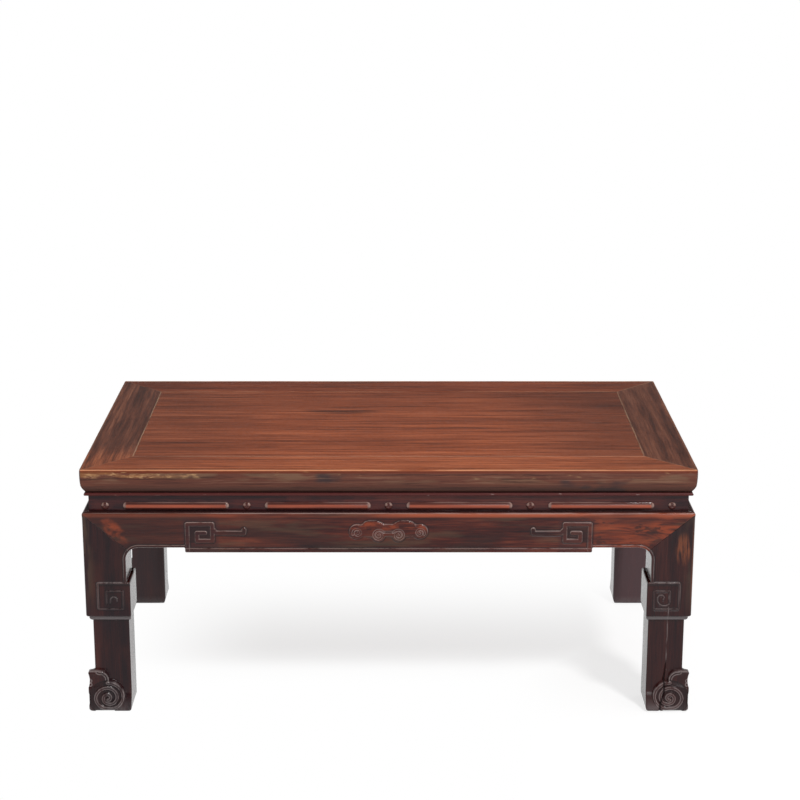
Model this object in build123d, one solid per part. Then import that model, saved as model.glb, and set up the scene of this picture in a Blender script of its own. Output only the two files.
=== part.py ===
from build123d import *
import os
from math import cos, radians, sin, sqrt

# A waisted kang table in the frame-and-panel tradition, put together without metal fastenings.
# Millimetres, +Z up, +X along the table's length, -Y towards its front.
# The origin is on the floor under the middle of the table top.

# Overall size, over the moulded edge of the top
length = 840.0
depth = 475.0
height = 355.0

# Top frame: four mitred rails, with a moulded edge over a half-round bead
rail_width = 66.0
rail_thickness = 36.0
arris_width = 3.0  # rounded top arris, inward
arris_height = 7.0  # and down to the widest line of the edge
knee_inset = 1.6  # where the edge's easy curve tightens, behind the widest line
knee_drop = 11.5  # and below it
bead_height = 6.0
bead_inset = 5.0  # nose of the bead behind the widest line

# Blind mitre tenons of the long rails in the short ones
mitre_tenon_width = 22.0
mitre_tenon_thickness = 10.0
mitre_tenon_inset = 24.0  # behind the widest line
mitre_tenon_cover = 10.0  # wood left outside its end
mitre_tenon_rise = 11.0  # above the rail's underside

# Floating panel, its tongue in a groove round the frame
panel_thickness = 12.0
panel_tongue_thickness = 6.0
panel_tongue_length = 8.0
panel_gap = 0.3  # open joint line round the panel

# Battens, dovetailed across the panel's underside and tenoned into the long rails
batten_from_middle = 130.0
batten_width = 32.0
batten_height = 22.0
batten_dovetail_depth = 4.0
batten_dovetail_waist = 20.0
batten_dovetail_flare = 3.0  # each side
batten_tenon_length = 15.0
batten_tenon_width = 20.0
batten_tenon_thickness = 12.0
batten_tenon_rise = 3.0  # above the batten's underside

# Waist: boards set back under the frame, with half-round bars between small bosses
waist_height = 25.0
waist_setback = 8.8  # behind the faces of apron and leg
waist_tongue_thickness = 5.0
waist_tongue_length = 4.0
bars_on_long_board = 4
bars_on_short_board = 2
boss_from_corner = 22.5
boss_diameter = 9.0
boss_relief = 3.0
bar_height = 10.5
bar_relief = 2.6
bar_from_boss = 24.4  # from a boss's middle to the bar's end
bar_level = 8.8  # middle of the bars above the apron

# Aprons: boards with a dropped middle, mitred to the legs
face_inset = 1.7  # faces of apron and leg behind the widest line of the top
apron_thickness = 22.0
apron_height = 50.5  # at its ends
apron_drop = 7.0
drop_from_leg_long = 82.0  # from the leg's inner face to the drop
drop_from_leg_short = 46.0
drop_corner_radius = 2.0
apron_arris = 2.0
arch_radius = 18.0  # quarter arch between apron and leg

# Legs
leg_width = 57.7
shoulder_fall = 2.5  # shoulder's start at the corner, below the apron's top
block_below_arch = 33.0  # from the arch's springing down to the block
block_height = 47.0
block_step = 4.5  # beyond the leg's inner face
block_round = 3.0
block_inner_round = 1.5
hollow_height = 8.0  # under the block
hollow_lip = 4.0
hollow_sagitta = 1.2
shaft_outer_step = 8.3  # shaft behind the leg's outer face
shaft_inner_step = 0.8  # and beyond its inner face

# Scrolled foot, in relief on the two outer faces
foot_height = 62.5
foot_projection = 1.2  # beyond the face of the leg
foot_round = 4.5
cheek_height = 36.0  # straight side of the foot
cheek_hollow = 1.6
tip_height = 58.0
tip_width = 3.5
leaf_width = 13.5  # flat top of the leaf, from the foot's outer face
leaf_bulge = 2.5
notch_across = 28.7  # where leaf and scroll meet, from the foot's outer face
notch_height = 47.5
scroll_across = 49.2  # far side of the scroll
scroll_middle_height = 25.5
scroll_foot_across = 33.0
scroll_foot_height = 4.2
foot_slope = 6.5  # relief lost from the shaft's outer face to its inner one

# Shoulder joint at the head of the leg: hanging dovetails, a long tenon and a short one
pin_root_width = 10.0
pin_flare = 2.0  # each side
pin_depth = 8.0
pin_cover = 7.0  # apron left above the pin
leg_tenon_thickness = 12.0
leg_tenon_margin = 2.0  # from the faces of the neck
leg_tenon_corner = 5.7  # between the two tenons, where the frame's mitre passes
long_tenon_length = 25.0
short_tenon_length = 8.0

# Dovetail keys behind the aprons, tying apron, waist and frame together
key_root_width = 12.0
key_flare = 2.0  # each side
key_depth = 6.0
key_proud = 6.0
key_from_middle = 190.0  # on the long sides; a short side has one in the middle
key_above_drop = 12.0
key_entry = 10.0  # into the frame

# Clearances
fit = 0.1  # round tenons, tongues and dovetails, and at every mitre
end_room = 1.0  # past the end of a tenon or tongue

# Levels and places that follow
frame_bottom = height - rail_thickness
panel_bottom = height - panel_thickness
widest_level = height - arris_height
bead_top = frame_bottom + bead_height
throat_inset = bead_inset + bead_height / 2
apron_top = frame_bottom - waist_height
apron_end_bottom = apron_top - apron_height
apron_drop_bottom = apron_end_bottom - apron_drop
waist_inset = face_inset + waist_setback
neck_inset = face_inset + apron_thickness  # faces of the leg's neck, backs of apron and waist
mitre_reach = rail_width + end_room
shoulder_start = apron_top - shoulder_fall
batten_bottom = panel_bottom - batten_height
key_bottom = apron_drop_bottom + key_above_drop
pin_top = apron_top - pin_cover
leg_tenon_near = apron_thickness + leg_tenon_margin  # across from the leg's outer face
leg_tenon_start = leg_tenon_near + leg_tenon_thickness + leg_tenon_corner
leg_tenon_width = leg_width - leg_tenon_margin - leg_tenon_start
block_top = apron_end_bottom - arch_radius - block_below_arch
block_bottom = block_top - block_height
block_face = leg_width + block_step  # inner face of the block from the leg's outer face
shaft_face = leg_width + shaft_inner_step

sides = {  # turn about Z, half the run, half the reach outward, and whether it is a long side
    "front": (0, length / 2, depth / 2, True),
    "back": (180, length / 2, depth / 2, True),
    "left": (-90, depth / 2, length / 2, False),
    "right": (90, depth / 2, length / 2, False),
}
corners = {  # whether it is mirrored across the length, and across the depth
    "front_left": (False, False),
    "front_right": (True, False),
    "back_left": (False, True),
    "back_right": (True, True),
}
diagonal = Plane(origin=(0, 0, 0), z_dir=(1, -1, 0))


def box(x_low, x_high, y_low, y_high, z_low, z_high):
    """A box between two planes along each axis."""
    middle = Pos((x_low + x_high) / 2, (y_low + y_high) / 2, (z_low + z_high) / 2)
    return middle * Box(x_high - x_low, y_high - y_low, z_high - z_low)


def prism(plane, edges, amount, both=False):
    """The closed outline drawn by the edges on a plane, extruded."""
    return extrude(plane * make_face(edges), amount, both=both)


def dovetail(root, flare, out, z_low, z_high, room=0.0):
    """An upright dovetail that stands on the plane Y = 0 and widens towards -Y."""
    narrow = root / 2 + room
    wide = narrow + flare
    tip = -out - room
    outline = Polyline((-narrow, room), (narrow, room), (wide, tip), (-wide, tip), close=True)
    return prism(Plane.XY.offset(z_low), outline, z_high - z_low)


def between_mitres(run, out):
    """The space of one side of the table, cut off at 45 degrees at both ends.

    Like every piece below that takes run and out, it faces the front: it runs from -run to
    run along X, and its outermost line is at Y = -out.
    """
    outer = run - fit / sqrt(2)
    inner = outer - mitre_reach
    outline = Polyline(
        (-outer, -out), (outer, -out), (inner, mitre_reach - out), (-inner, mitre_reach - out), close=True
    )
    return prism(Plane.XY, outline, height)


def both_ends(shape):
    """A shape and its mirror image at the other end of a side."""
    return shape + mirror(shape, about=Plane.YZ)


# Joints: each makes the solid, and the space cut for it when it is given room.


def leg_tenons(run, out, tenon_length, room=0.0):
    """The upright tenons of two legs under one rail, each clear of the frame's mitre."""
    far = run - face_inset - leg_width + leg_tenon_margin
    near = neck_inset + leg_tenon_margin - out
    rise = room + end_room if room else 0
    tenon = box(
        far - room,
        far + leg_tenon_width + room,
        near - room,
        near + leg_tenon_thickness + room,
        frame_bottom,
        frame_bottom + tenon_length + rise,
    )
    return both_ends(tenon)


def mitre_tenon(run, out, room=0.0):
    """The blind tenons at both ends of a long rail, as one bar between their ends."""
    near = mitre_tenon_inset - out
    bottom = frame_bottom + mitre_tenon_rise
    end = run - mitre_tenon_cover + (end_room if room else 0)
    return box(
        -end,
        end,
        near - room,
        near + mitre_tenon_width + room,
        bottom - room,
        bottom + mitre_tenon_thickness + room,
    )


def batten_tenons(batten_x, room=0.0):
    """The tenons at both ends of a batten, as one bar between their ends."""
    end = depth / 2 - rail_width + batten_tenon_length + (end_room if room else 0)
    bottom = batten_bottom + batten_tenon_rise
    half_width = batten_tenon_width / 2 + room
    return box(
        batten_x - half_width,
        batten_x + half_width,
        -end,
        end,
        bottom - room,
        bottom + batten_tenon_thickness + room,
    )


def batten_dovetail(batten_x, half_run, room=0.0):
    """The ridge along the top of a batten, wider at its top."""
    narrow = batten_dovetail_waist / 2 + room
    wide = narrow + batten_dovetail_flare
    top = panel_bottom + batten_dovetail_depth
    outline = Polyline(
        (batten_x - narrow, panel_bottom),
        (batten_x + narrow, panel_bottom),
        (batten_x + wide, top),
        (batten_x - wide, top),
        close=True,
    )
    return prism(Plane.XZ, outline, half_run, both=True)


def waist_tongues(run, out, room=0.0):
    """The tongues along the top and bottom edges of a waist board, as one upright strip."""
    middle = (waist_inset + neck_inset) / 2 - out
    half_thickness = waist_tongue_thickness / 2 + room
    reach = waist_tongue_length + (end_room if room else 0)
    return box(
        -run, run, middle - half_thickness, middle + half_thickness, apron_top - reach, frame_bottom + reach
    )


def key_places(long_side):
    """Where the keys of one side stand along its run."""
    return (-key_from_middle, key_from_middle) if long_side else (0.0,)


def key(key_x, out, room=0.0):
    """A dovetail key, proud of the back of the apron and let into the frame."""
    back = neck_inset - out
    rise = end_room if room else 0
    bottom = key_bottom - rise
    top = frame_bottom + key_entry + rise
    half_root = key_root_width / 2 + room
    tail = Pos(key_x, back, 0) * dovetail(key_root_width, key_flare, key_depth, bottom, top, room)
    proud = box(key_x - half_root, key_x + half_root, back, back + key_proud + room, bottom, top)
    return tail + proud


def hanging_pin(room=0.0):
    """The dovetail on the neck's face that an apron hangs on, standing on the plane Y = 0."""
    top = pin_top + (end_room if room else 0)
    return dovetail(pin_root_width, pin_flare, pin_depth, apron_end_bottom, top, room)


# Top


def rail(run, out, long_side):
    """A rail of the top frame, with its moulded edge, grooves and mortises."""
    inner = rail_width - out
    top_edge = (arris_width - out, height)
    widest = (-out, widest_level)
    knee = (knee_inset - out, widest_level - knee_drop)
    throat = (throat_inset - out, bead_top)
    bead_nose = (bead_inset - out, bead_top - bead_height / 2)
    bead_foot = (throat_inset - out, frame_bottom)
    easy_curve = TangentArc(widest, knee, tangent=(0, -1))
    profile = [
        TangentArc(widest, top_edge, tangent=(0, 1)),
        easy_curve,
        TangentArc(knee, throat, tangent=easy_curve % 1),
        ThreePointArc(throat, bead_nose, bead_foot),
        Polyline(bead_foot, (inner, frame_bottom), (inner, height), top_edge),
    ]
    shape = prism(Plane.YZ, profile, run, both=True) & between_mitres(run, out)
    if long_side:
        shape += mitre_tenon(run, out)
        for batten_x in (-batten_from_middle, batten_from_middle):
            shape -= batten_tenons(batten_x, fit)
    else:
        for turn in (-90, 90):
            shape -= Rot(0, 0, turn) * mitre_tenon(out, run, fit)
    groove_depth = panel_tongue_length + end_room
    tongue_top = panel_bottom + panel_tongue_thickness
    shape -= box(-run, run, inner - groove_depth, inner, panel_bottom, tongue_top + fit)
    shape -= waist_tongues(run, out, fit)
    shape -= leg_tenons(run, out, long_tenon_length if long_side else short_tenon_length, fit)
    for key_x in key_places(long_side):
        shape -= key(key_x, out, fit)
    return shape


def top_panel():
    """The floating panel, flush with the frame."""
    half_x = length / 2 - rail_width
    half_y = depth / 2 - rail_width
    tongue_x = half_x + panel_tongue_length
    tongue_y = half_y + panel_tongue_length
    tongue_top = panel_bottom + panel_tongue_thickness
    edge_x = half_x - panel_gap
    edge_y = half_y - panel_gap
    shape = box(-edge_x, edge_x, -edge_y, edge_y, panel_bottom, height)
    shape += box(-tongue_x, tongue_x, -tongue_y, tongue_y, panel_bottom, tongue_top)
    for batten_x in (-batten_from_middle, batten_from_middle):
        shape -= batten_dovetail(batten_x, depth / 2, fit)
    return shape


def batten(batten_x):
    """A batten across the panel, between the long rails."""
    half_run = depth / 2 - rail_width - fit
    half_width = batten_width / 2
    shape = box(
        batten_x - half_width, batten_x + half_width, -half_run, half_run, batten_bottom, panel_bottom
    )
    shape += batten_dovetail(batten_x, half_run)
    return shape + batten_tenons(batten_x)


# Waist and aprons


def half_round_bar(x_low, x_high, ground, level):
    """A bar with rounded ends that swells out of an upright ground facing -Y."""
    radius = (bar_height**2 / 4 + bar_relief**2) / (2 * bar_relief)
    half = (x_high - x_low - bar_height) / 2
    outline = [
        Polyline((-half, radius), (half, radius)),
        ThreePointArc((half, radius), (half + radius / sqrt(2), radius / sqrt(2)), (half + radius, 0)),
        Polyline((half + radius, 0), (-half - radius, 0)),
        ThreePointArc((-half - radius, 0), (-half - radius / sqrt(2), radius / sqrt(2)), (-half, radius)),
    ]
    middle = Pos((x_low + x_high) / 2, ground + radius - bar_relief, level)
    capsule = middle * revolve(make_face(outline), Axis.X)
    near = ground - bar_relief
    far = ground + bar_relief
    return capsule & box(x_low, x_high, near, far, level - radius, level + radius)


def domed_boss(boss_x, ground, level):
    """A small round boss on the same ground, with a short root in the board."""
    radius = boss_diameter / 2
    rim = (radius, 0)
    crown = (0, -boss_relief)
    outline = [
        TangentArc(crown, rim, tangent=(1, 0)),
        Polyline(rim, (radius, boss_relief), (0, boss_relief), crown),
    ]
    return Pos(boss_x, ground, level) * revolve(make_face(outline), Axis.Y)


def waist(run, out, long_side):
    """A waist board with its bars and bosses, tongued into the apron and the frame."""
    ground = waist_inset - out
    level = apron_top + bar_level
    shape = box(-run, run, ground, neck_inset - out, apron_top, frame_bottom) + waist_tongues(run, out)
    shape &= between_mitres(run, out)
    bars = bars_on_long_board if long_side else bars_on_short_board
    first_boss = waist_inset + boss_from_corner - run
    pitch = -2 * first_boss / bars
    for place in range(bars + 1):
        boss_x = first_boss + place * pitch
        shape += domed_boss(boss_x, ground, level)
        if place < bars:
            shape += half_round_bar(boss_x + bar_from_boss, boss_x + pitch - bar_from_boss, ground, level)
    for key_x in key_places(long_side):
        shape -= key(key_x, out, fit)
    return shape


def arch_point(turn):
    """A point of the arch between leg and apron, across from the leg's outer face and up.

    The turn is in degrees: 0 at the leg's inner face, 90 at the apron's bottom edge.
    """
    across = leg_width + arch_radius * (1 - cos(radians(turn)))
    level = apron_end_bottom - arch_radius * (1 - sin(radians(turn)))
    return across, level


def apron(run, out, long_side):
    """An apron, mitred along the legs' shoulders, grooved for the waist and slotted behind."""
    face_run = run - face_inset
    drop = face_run - leg_width - (drop_from_leg_long if long_side else drop_from_leg_short)
    mitre_across, mitre_level = arch_point(45)
    curve_across, curve_level = arch_point(67.5)
    crown_across, crown_level = arch_point(90)
    edges = [
        Polyline(
            (mitre_across - face_run, mitre_level + fit),
            (-face_run, shoulder_start + fit),
            (-face_run, apron_top),
            (face_run, apron_top),
            (face_run, shoulder_start + fit),
            (face_run - mitre_across, mitre_level + fit),
        ),
        FilletPolyline(
            (crown_across - face_run, crown_level),
            (-drop, apron_end_bottom),
            (-drop, apron_drop_bottom),
            (drop, apron_drop_bottom),
            (drop, apron_end_bottom),
            (face_run - crown_across, crown_level),
            radius=drop_corner_radius,
        ),
    ]
    for end in (-1, 1):
        edges.append(
            ThreePointArc(
                (end * (face_run - mitre_across), mitre_level + fit),
                (end * (face_run - curve_across), curve_level),
                (end * (face_run - crown_across), crown_level),
            )
        )
    face = face_inset - out
    section = FilletPolyline(
        (face, apron_drop_bottom),
        (face, apron_top),
        (face + apron_thickness, apron_top),
        (face + apron_thickness, apron_drop_bottom),
        close=True,
        radius=(0, apron_arris, 0, 0),
    )
    shape = prism(Plane.XZ.offset(-face), edges, -apron_thickness)
    shape &= prism(Plane.YZ, section, run, both=True)
    shape &= between_mitres(run, out)
    shape -= waist_tongues(run, out, fit)
    pin_from_end = face_inset + (apron_thickness + leg_width) / 2
    shape -= both_ends(Pos(run - pin_from_end, neck_inset - out, 0) * hanging_pin(fit))
    for key_x in key_places(long_side):
        shape -= key(key_x, out, fit)
    return shape


# Legs: each is modelled with its outer corner at the origin and its wood towards +X and +Y.


def leg_outline():
    """A leg seen square on to either outer face, without its neck and its foot's relief."""
    arch_curve = [arch_point(turn) for turn in (45, 22.5, 0)]
    hollow_foot = block_bottom - hollow_height
    outer = [
        FilletPolyline(
            arch_curve[0],
            (0, shoulder_start),
            (0, block_bottom),
            (hollow_lip, block_bottom),
            radius=(0, block_round),
        ),
        SagittaArc((hollow_lip, block_bottom), (shaft_outer_step, hollow_foot), hollow_sagitta),
        FilletPolyline(
            (shaft_outer_step, hollow_foot),
            (shaft_outer_step, 0),
            (shaft_face, 0),
            (shaft_face, hollow_foot),
            radius=(0, foot_round),
        ),
    ]
    lip = block_face - block_inner_round
    inner = [
        SagittaArc((lip, block_bottom), (shaft_face, hollow_foot), -hollow_sagitta),
        FilletPolyline(
            (lip, block_bottom),
            (block_face, block_bottom),
            (block_face, block_top),
            (leg_width, block_top),
            arch_curve[2],
            radius=(block_inner_round / 2, block_round, 0),
        ),
        ThreePointArc(*arch_curve),
    ]
    return outer + inner


def foot_plate():
    """The leaf and scroll on the front face, with a flat face that thins past the corner."""
    outer = -foot_projection
    leaf_end = (outer + leaf_width, foot_height)
    notch = (outer + notch_across, notch_height)
    scroll_far = (outer + scroll_across, scroll_middle_height)
    scroll_foot = (outer + scroll_foot_across, scroll_foot_height)
    outline = [
        Polyline(scroll_foot, (outer + scroll_foot_across, 0), (outer, 0), (outer, foot_height), leaf_end),
        SagittaArc(leaf_end, notch, leaf_bulge),
        ThreePointArc(notch, scroll_far, scroll_foot),
    ]
    plate = prism(Plane.XZ.offset(foot_projection), outline, -shaft_outer_step - foot_projection)
    slope = Polyline(
        (shaft_outer_step, outer), (shaft_face, outer + foot_slope), (shaft_face, outer), close=True
    )
    return plate - prism(Plane.XY, slope, foot_height)


def foot_profile():
    """The foot's outer side seen square on, hollow between its cheek and the tip of the leaf."""
    outer = -foot_projection
    cheek = (outer, cheek_height)
    hollow = (outer + cheek_hollow, (cheek_height + tip_height) / 2)
    tip = (outer, tip_height)
    return [
        FilletPolyline(cheek, (outer, 0), (block_face, 0), radius=foot_round),
        Polyline((block_face, 0), (block_face, foot_height), (outer + tip_width, foot_height), tip),
        ThreePointArc(tip, hollow, cheek),
    ]


def foot():
    """The carved relief of a foot, round its outer corner."""
    plate = foot_plate()
    profile = foot_profile()
    shape = plate + mirror(plate, about=diagonal)
    shape &= prism(Plane.XZ.offset(foot_projection), profile, -block_face)
    return shape & prism(Plane.YZ.offset(-foot_projection), profile, block_face)


def leg():
    """A leg with its carved block, scrolled foot, mitred shoulder, neck and tenons."""
    edges = leg_outline()
    shape = prism(Plane.XZ, edges, -block_face - arch_radius)
    shape &= prism(Plane.YZ, edges, block_face + arch_radius)
    shape += foot()
    springing = arch_point(0)[1]
    shape += box(apron_thickness, leg_width, apron_thickness, leg_width, springing, frame_bottom)
    pin = Pos((apron_thickness + leg_width) / 2, apron_thickness, 0) * hanging_pin()
    shape += pin
    shape += mirror(pin, about=diagonal)
    width_span = (leg_tenon_start, leg_tenon_start + leg_tenon_width)
    thickness_span = (leg_tenon_near, leg_tenon_near + leg_tenon_thickness)
    long_tenon = box(
        *width_span,
        *thickness_span,
        frame_bottom,
        frame_bottom + long_tenon_length,
    )
    short_tenon = box(
        *thickness_span,
        *width_span,
        frame_bottom,
        frame_bottom + short_tenon_length,
    )
    return shape + long_tenon + short_tenon


def placed_leg(across_length, across_depth):
    """The leg at one corner of the table."""
    shape = Pos(face_inset - length / 2, face_inset - depth / 2, 0) * leg()
    if across_length:
        shape = mirror(shape, about=Plane.YZ)
    if across_depth:
        shape = mirror(shape, about=Plane.XZ)
    return shape


# The whole table, one STEP file for each piece

pieces = {"top_panel": top_panel()}
for batten_name, batten_x in (("left", -batten_from_middle), ("right", batten_from_middle)):
    pieces[f"batten_{batten_name}"] = batten(batten_x)
for side, (turn, run, out, long_side) in sides.items():
    place = Rot(0, 0, turn)
    pieces[f"frame_rail_{side}"] = place * rail(run, out, long_side)
    pieces[f"waist_{side}"] = place * waist(run, out, long_side)
    pieces[f"apron_{side}"] = place * apron(run, out, long_side)
    if long_side:
        pieces[f"key_{side}_left"] = place * key(-key_from_middle, out)
        pieces[f"key_{side}_right"] = place * key(key_from_middle, out)
    else:
        pieces[f"key_{side}"] = place * key(0, out)
for corner, (across_length, across_depth) in corners.items():
    pieces[f"leg_{corner}"] = placed_leg(across_length, across_depth)

os.makedirs("parts", exist_ok=True)
for name, shape in pieces.items():
    export_step(shape, f"parts/{name}.step")
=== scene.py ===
import math

import bmesh
import bpy
import numpy as np
from mathutils import Matrix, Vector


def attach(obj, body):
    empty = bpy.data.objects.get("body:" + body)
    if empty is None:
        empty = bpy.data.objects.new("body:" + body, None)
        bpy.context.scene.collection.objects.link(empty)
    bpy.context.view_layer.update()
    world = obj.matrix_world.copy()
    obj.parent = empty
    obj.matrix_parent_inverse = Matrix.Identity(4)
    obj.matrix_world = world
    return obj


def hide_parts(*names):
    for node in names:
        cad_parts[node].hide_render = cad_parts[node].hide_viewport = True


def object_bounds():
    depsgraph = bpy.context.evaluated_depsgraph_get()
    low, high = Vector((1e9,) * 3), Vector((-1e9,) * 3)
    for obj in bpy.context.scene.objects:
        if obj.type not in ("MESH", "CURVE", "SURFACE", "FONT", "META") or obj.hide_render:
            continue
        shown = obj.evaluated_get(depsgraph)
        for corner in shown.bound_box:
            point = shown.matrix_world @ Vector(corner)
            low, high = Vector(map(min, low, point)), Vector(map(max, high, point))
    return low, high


# A waisted kang table in dark polished hardwood. Sizes are in millimetres until a mesh is made.
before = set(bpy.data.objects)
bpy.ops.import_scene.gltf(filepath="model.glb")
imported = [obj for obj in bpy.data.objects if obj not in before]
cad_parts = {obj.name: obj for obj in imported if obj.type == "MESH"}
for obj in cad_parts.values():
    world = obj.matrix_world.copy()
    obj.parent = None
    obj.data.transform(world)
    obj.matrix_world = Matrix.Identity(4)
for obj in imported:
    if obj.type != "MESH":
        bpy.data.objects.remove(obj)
cadBox = [list(corner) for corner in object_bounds()]
mm = 0.001
length, depth, height = [(high - low) / mm for low, high in zip(*cadBox)]
print("frame loaded:", len(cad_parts), "nodes,", round(length), "x", round(depth), "x", round(height))

view = {
    "place": (6.3, -2759.6, 1144.1),
    "pitch": 15.31,  # degrees below level
    "focalLength": 87.84,  # for a sensor 36 wide
    "shift": 0.0085,
}
studio = {
    "floorReach": 30.0,  # metres each way
    "floorGlow": 0.70,  # part of the floor's white that no shadow takes
    "floorAlbedo": 0.40,
    "shadowLeft": (-0.44, -0.16),  # the paper's shadow fades out between these, metres
    "shadowBack": (0.34, -0.02),
    "shadowFront": (-0.15, 0.015),
    "shadowRight": (0.16, 0.32),  # to the right of this it reaches forward
    "bounceAlbedo": 0.8,  # what the floor throws back at the table
    "sky": 0.55,
    "mirroredTop": 0.08,  # how bright the studio's dark upper part looks in polished wood
    "mirroredFade": (0.02, 0.22),  # where it turns dark, from level to straight up
    "keyPower": 142.0,
    "keySize": 0.75,
    "keyPlace": (1.95, -3.15, 4.3),
    "fillPower": 30.0,
    "fillSize": 1.6,
    "fillPlace": (1.0, -4.8, 0.8),
}

cameraData = bpy.data.cameras.new("cameraData")
cameraData.lens = view["focalLength"]
cameraData.sensor_width = 36
cameraData.shift_x = view["shift"]
cameraData.clip_end = 200
camera = bpy.data.objects.new("camera", cameraData)
camera.location = [value * mm for value in view["place"]]
camera.rotation_euler = (math.radians(90 - view["pitch"]), 0, 0)
bpy.context.scene.collection.objects.link(camera)
bpy.context.scene.camera = camera
bpy.context.scene.view_settings.view_transform = "Standard"


class Wire:
    # a node's socket that adds Math nodes when it is reckoned with
    def __init__(self, board, socket):
        self.board = board
        self.socket = socket

    def reckon(self, operation, *values):
        return self.board.node("ShaderNodeMath", {"operation": operation}, dict(enumerate(values)))

    def size(self):
        return self.reckon("ABSOLUTE", self)

    def atLeast(self, other):
        return self.reckon("MAXIMUM", self, other)


def addOperator(name, operation):
    # for wire + number and for number + wire
    setattr(Wire, f"__{name}__", lambda self, other: self.reckon(operation, self, other))
    setattr(Wire, f"__r{name}__", lambda self, other: self.reckon(operation, other, self))


operators = {"add": "ADD", "sub": "SUBTRACT", "mul": "MULTIPLY", "truediv": "DIVIDE", "pow": "POWER"}
for name, operation in operators.items():
    addOperator(name, operation)


class Board:
    # a node tree that is being wired
    def __init__(self, tree):
        self.tree = tree
        tree.nodes.clear()

    def node(self, kind, settings=None, inputs=None, output=0):
        made = self.tree.nodes.new(kind)
        for name, value in (settings or {}).items():
            if name == "stops":
                self.setStops(made.color_ramp, value)
            else:
                setattr(made, name, value)
        for name, value in (inputs or {}).items():
            self.join(made.inputs[name], value)
        if not made.outputs:
            return made
        return Wire(self, made.outputs[output])

    def join(self, socket, value):
        if isinstance(value, Wire):
            self.tree.links.new(value.socket, socket)
        elif isinstance(value, (tuple, list)) and socket.type == "RGBA":
            socket.default_value = (*value[:3], 1)
        else:
            socket.default_value = value

    def setStops(self, ramp, stops):
        while len(ramp.elements) < len(stops):
            ramp.elements.new(0.5)
        for element, (place, shade) in zip(ramp.elements, stops):
            element.position = place
            element.color = (*shade, 1)

    def part(self, vector, axis):
        return self.node("ShaderNodeSeparateXYZ", inputs={0: vector}, output=axis)

    def step(self, value, low, high, start=0.0, end=1.0):
        # rises smoothly from start to end as the value goes from low to high
        inputs = {0: value, 1: low, 2: high, 3: start, 4: end}
        return self.node("ShaderNodeMapRange", {"interpolation_type": "SMOOTHSTEP"}, inputs)

    def blend(self, factor, first, second, way="MIX"):
        settings = {"data_type": "RGBA", "blend_type": way}
        return self.node("ShaderNodeMix", settings, {0: factor, 6: first, 7: second}, output=2)

    def shine(self, kind, strength):
        return self.node(kind, inputs={0: (1, 1, 1), 1: strength})

    def choose(self, factor, first, second):
        return self.node("ShaderNodeMixShader", inputs={0: factor, 1: first, 2: second})

    def raysSeen(self):
        # rays straight from the camera, and those that reach it by gloss or glass as well
        kinds = ("Is Camera Ray", "Is Glossy Ray", "Is Transmission Ray")
        direct, glossy, through = (self.node("ShaderNodeLightPath", output=kind) for kind in kinds)
        return direct, direct.atLeast(glossy).atLeast(through)


def newMaterial(name):
    material = bpy.data.materials.new(name)
    material.use_nodes = True
    return material


def buildFloor():
    reach = studio["floorReach"]
    mesh = bpy.data.meshes.new("floor")
    spots = [(-reach, -reach, 0), (reach, -reach, 0), (reach, reach, 0), (-reach, reach, 0)]
    mesh.from_pydata(spots, [], [(0, 1, 2, 3)])
    floor = bpy.data.objects.new("floor", mesh)
    bpy.context.scene.collection.objects.link(floor)
    material = newMaterial("floorWhite")
    board = Board(material.node_tree)
    bounce = board.node("ShaderNodeBsdfDiffuse", inputs={0: (studio["bounceAlbedo"],) * 3})
    shown = board.node("ShaderNodeBsdfDiffuse", inputs={0: (studio["floorAlbedo"],) * 3})
    glow = board.shine("ShaderNodeEmission", studio["floorGlow"])
    paper = board.node("ShaderNodeAddShader", inputs={0: shown, 1: glow})
    place = board.node("ShaderNodeTexCoord", output="Object")
    across, back = board.part(place, 0), board.part(place, 1)
    forward = board.step(back, *studio["shadowFront"]).atLeast(board.step(across, *studio["shadowRight"]))
    shadowed = board.step(across, *studio["shadowLeft"]) * board.step(back, *studio["shadowBack"]) * forward
    clean = board.choose(shadowed, board.shine("ShaderNodeEmission", 1.0), paper)
    board.node("ShaderNodeOutputMaterial", inputs={0: board.choose(board.raysSeen()[1], bounce, clean)})
    mesh.materials.append(material)


def buildLight():
    world = bpy.data.worlds.new("studioWorld")
    world.use_nodes = True
    bpy.context.scene.world = world
    board = Board(world.node_tree)
    up = board.part(board.node("ShaderNodeTexCoord", output="Generated"), 2)
    dimmer = board.step(up, *studio["mirroredFade"], 1.0, studio["mirroredTop"])
    strengths = (studio["sky"], 1.0, dimmer)
    light, white, reflected = (board.shine("ShaderNodeBackground", strength) for strength in strengths)
    direct, mirrored = board.raysSeen()
    shown = board.choose(direct, reflected, white)
    board.node("ShaderNodeOutputWorld", inputs={0: board.choose(mirrored, light, shown)})

    for name in ("key", "fill"):
        lamp = bpy.data.lights.new(name, "AREA")
        lamp.shape = "DISK"
        lamp.energy = studio[name + "Power"]
        lamp.size = studio[name + "Size"]
        lampObject = bpy.data.objects.new(name, lamp)
        place = Matrix.Translation(studio[name + "Place"])
        lampObject.matrix_world = place @ (-place.translation).to_track_quat("-Z", "Y").to_matrix().to_4x4()
        bpy.context.scene.collection.objects.link(lampObject)


buildFloor()
buildLight()
print("studio ready")


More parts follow.
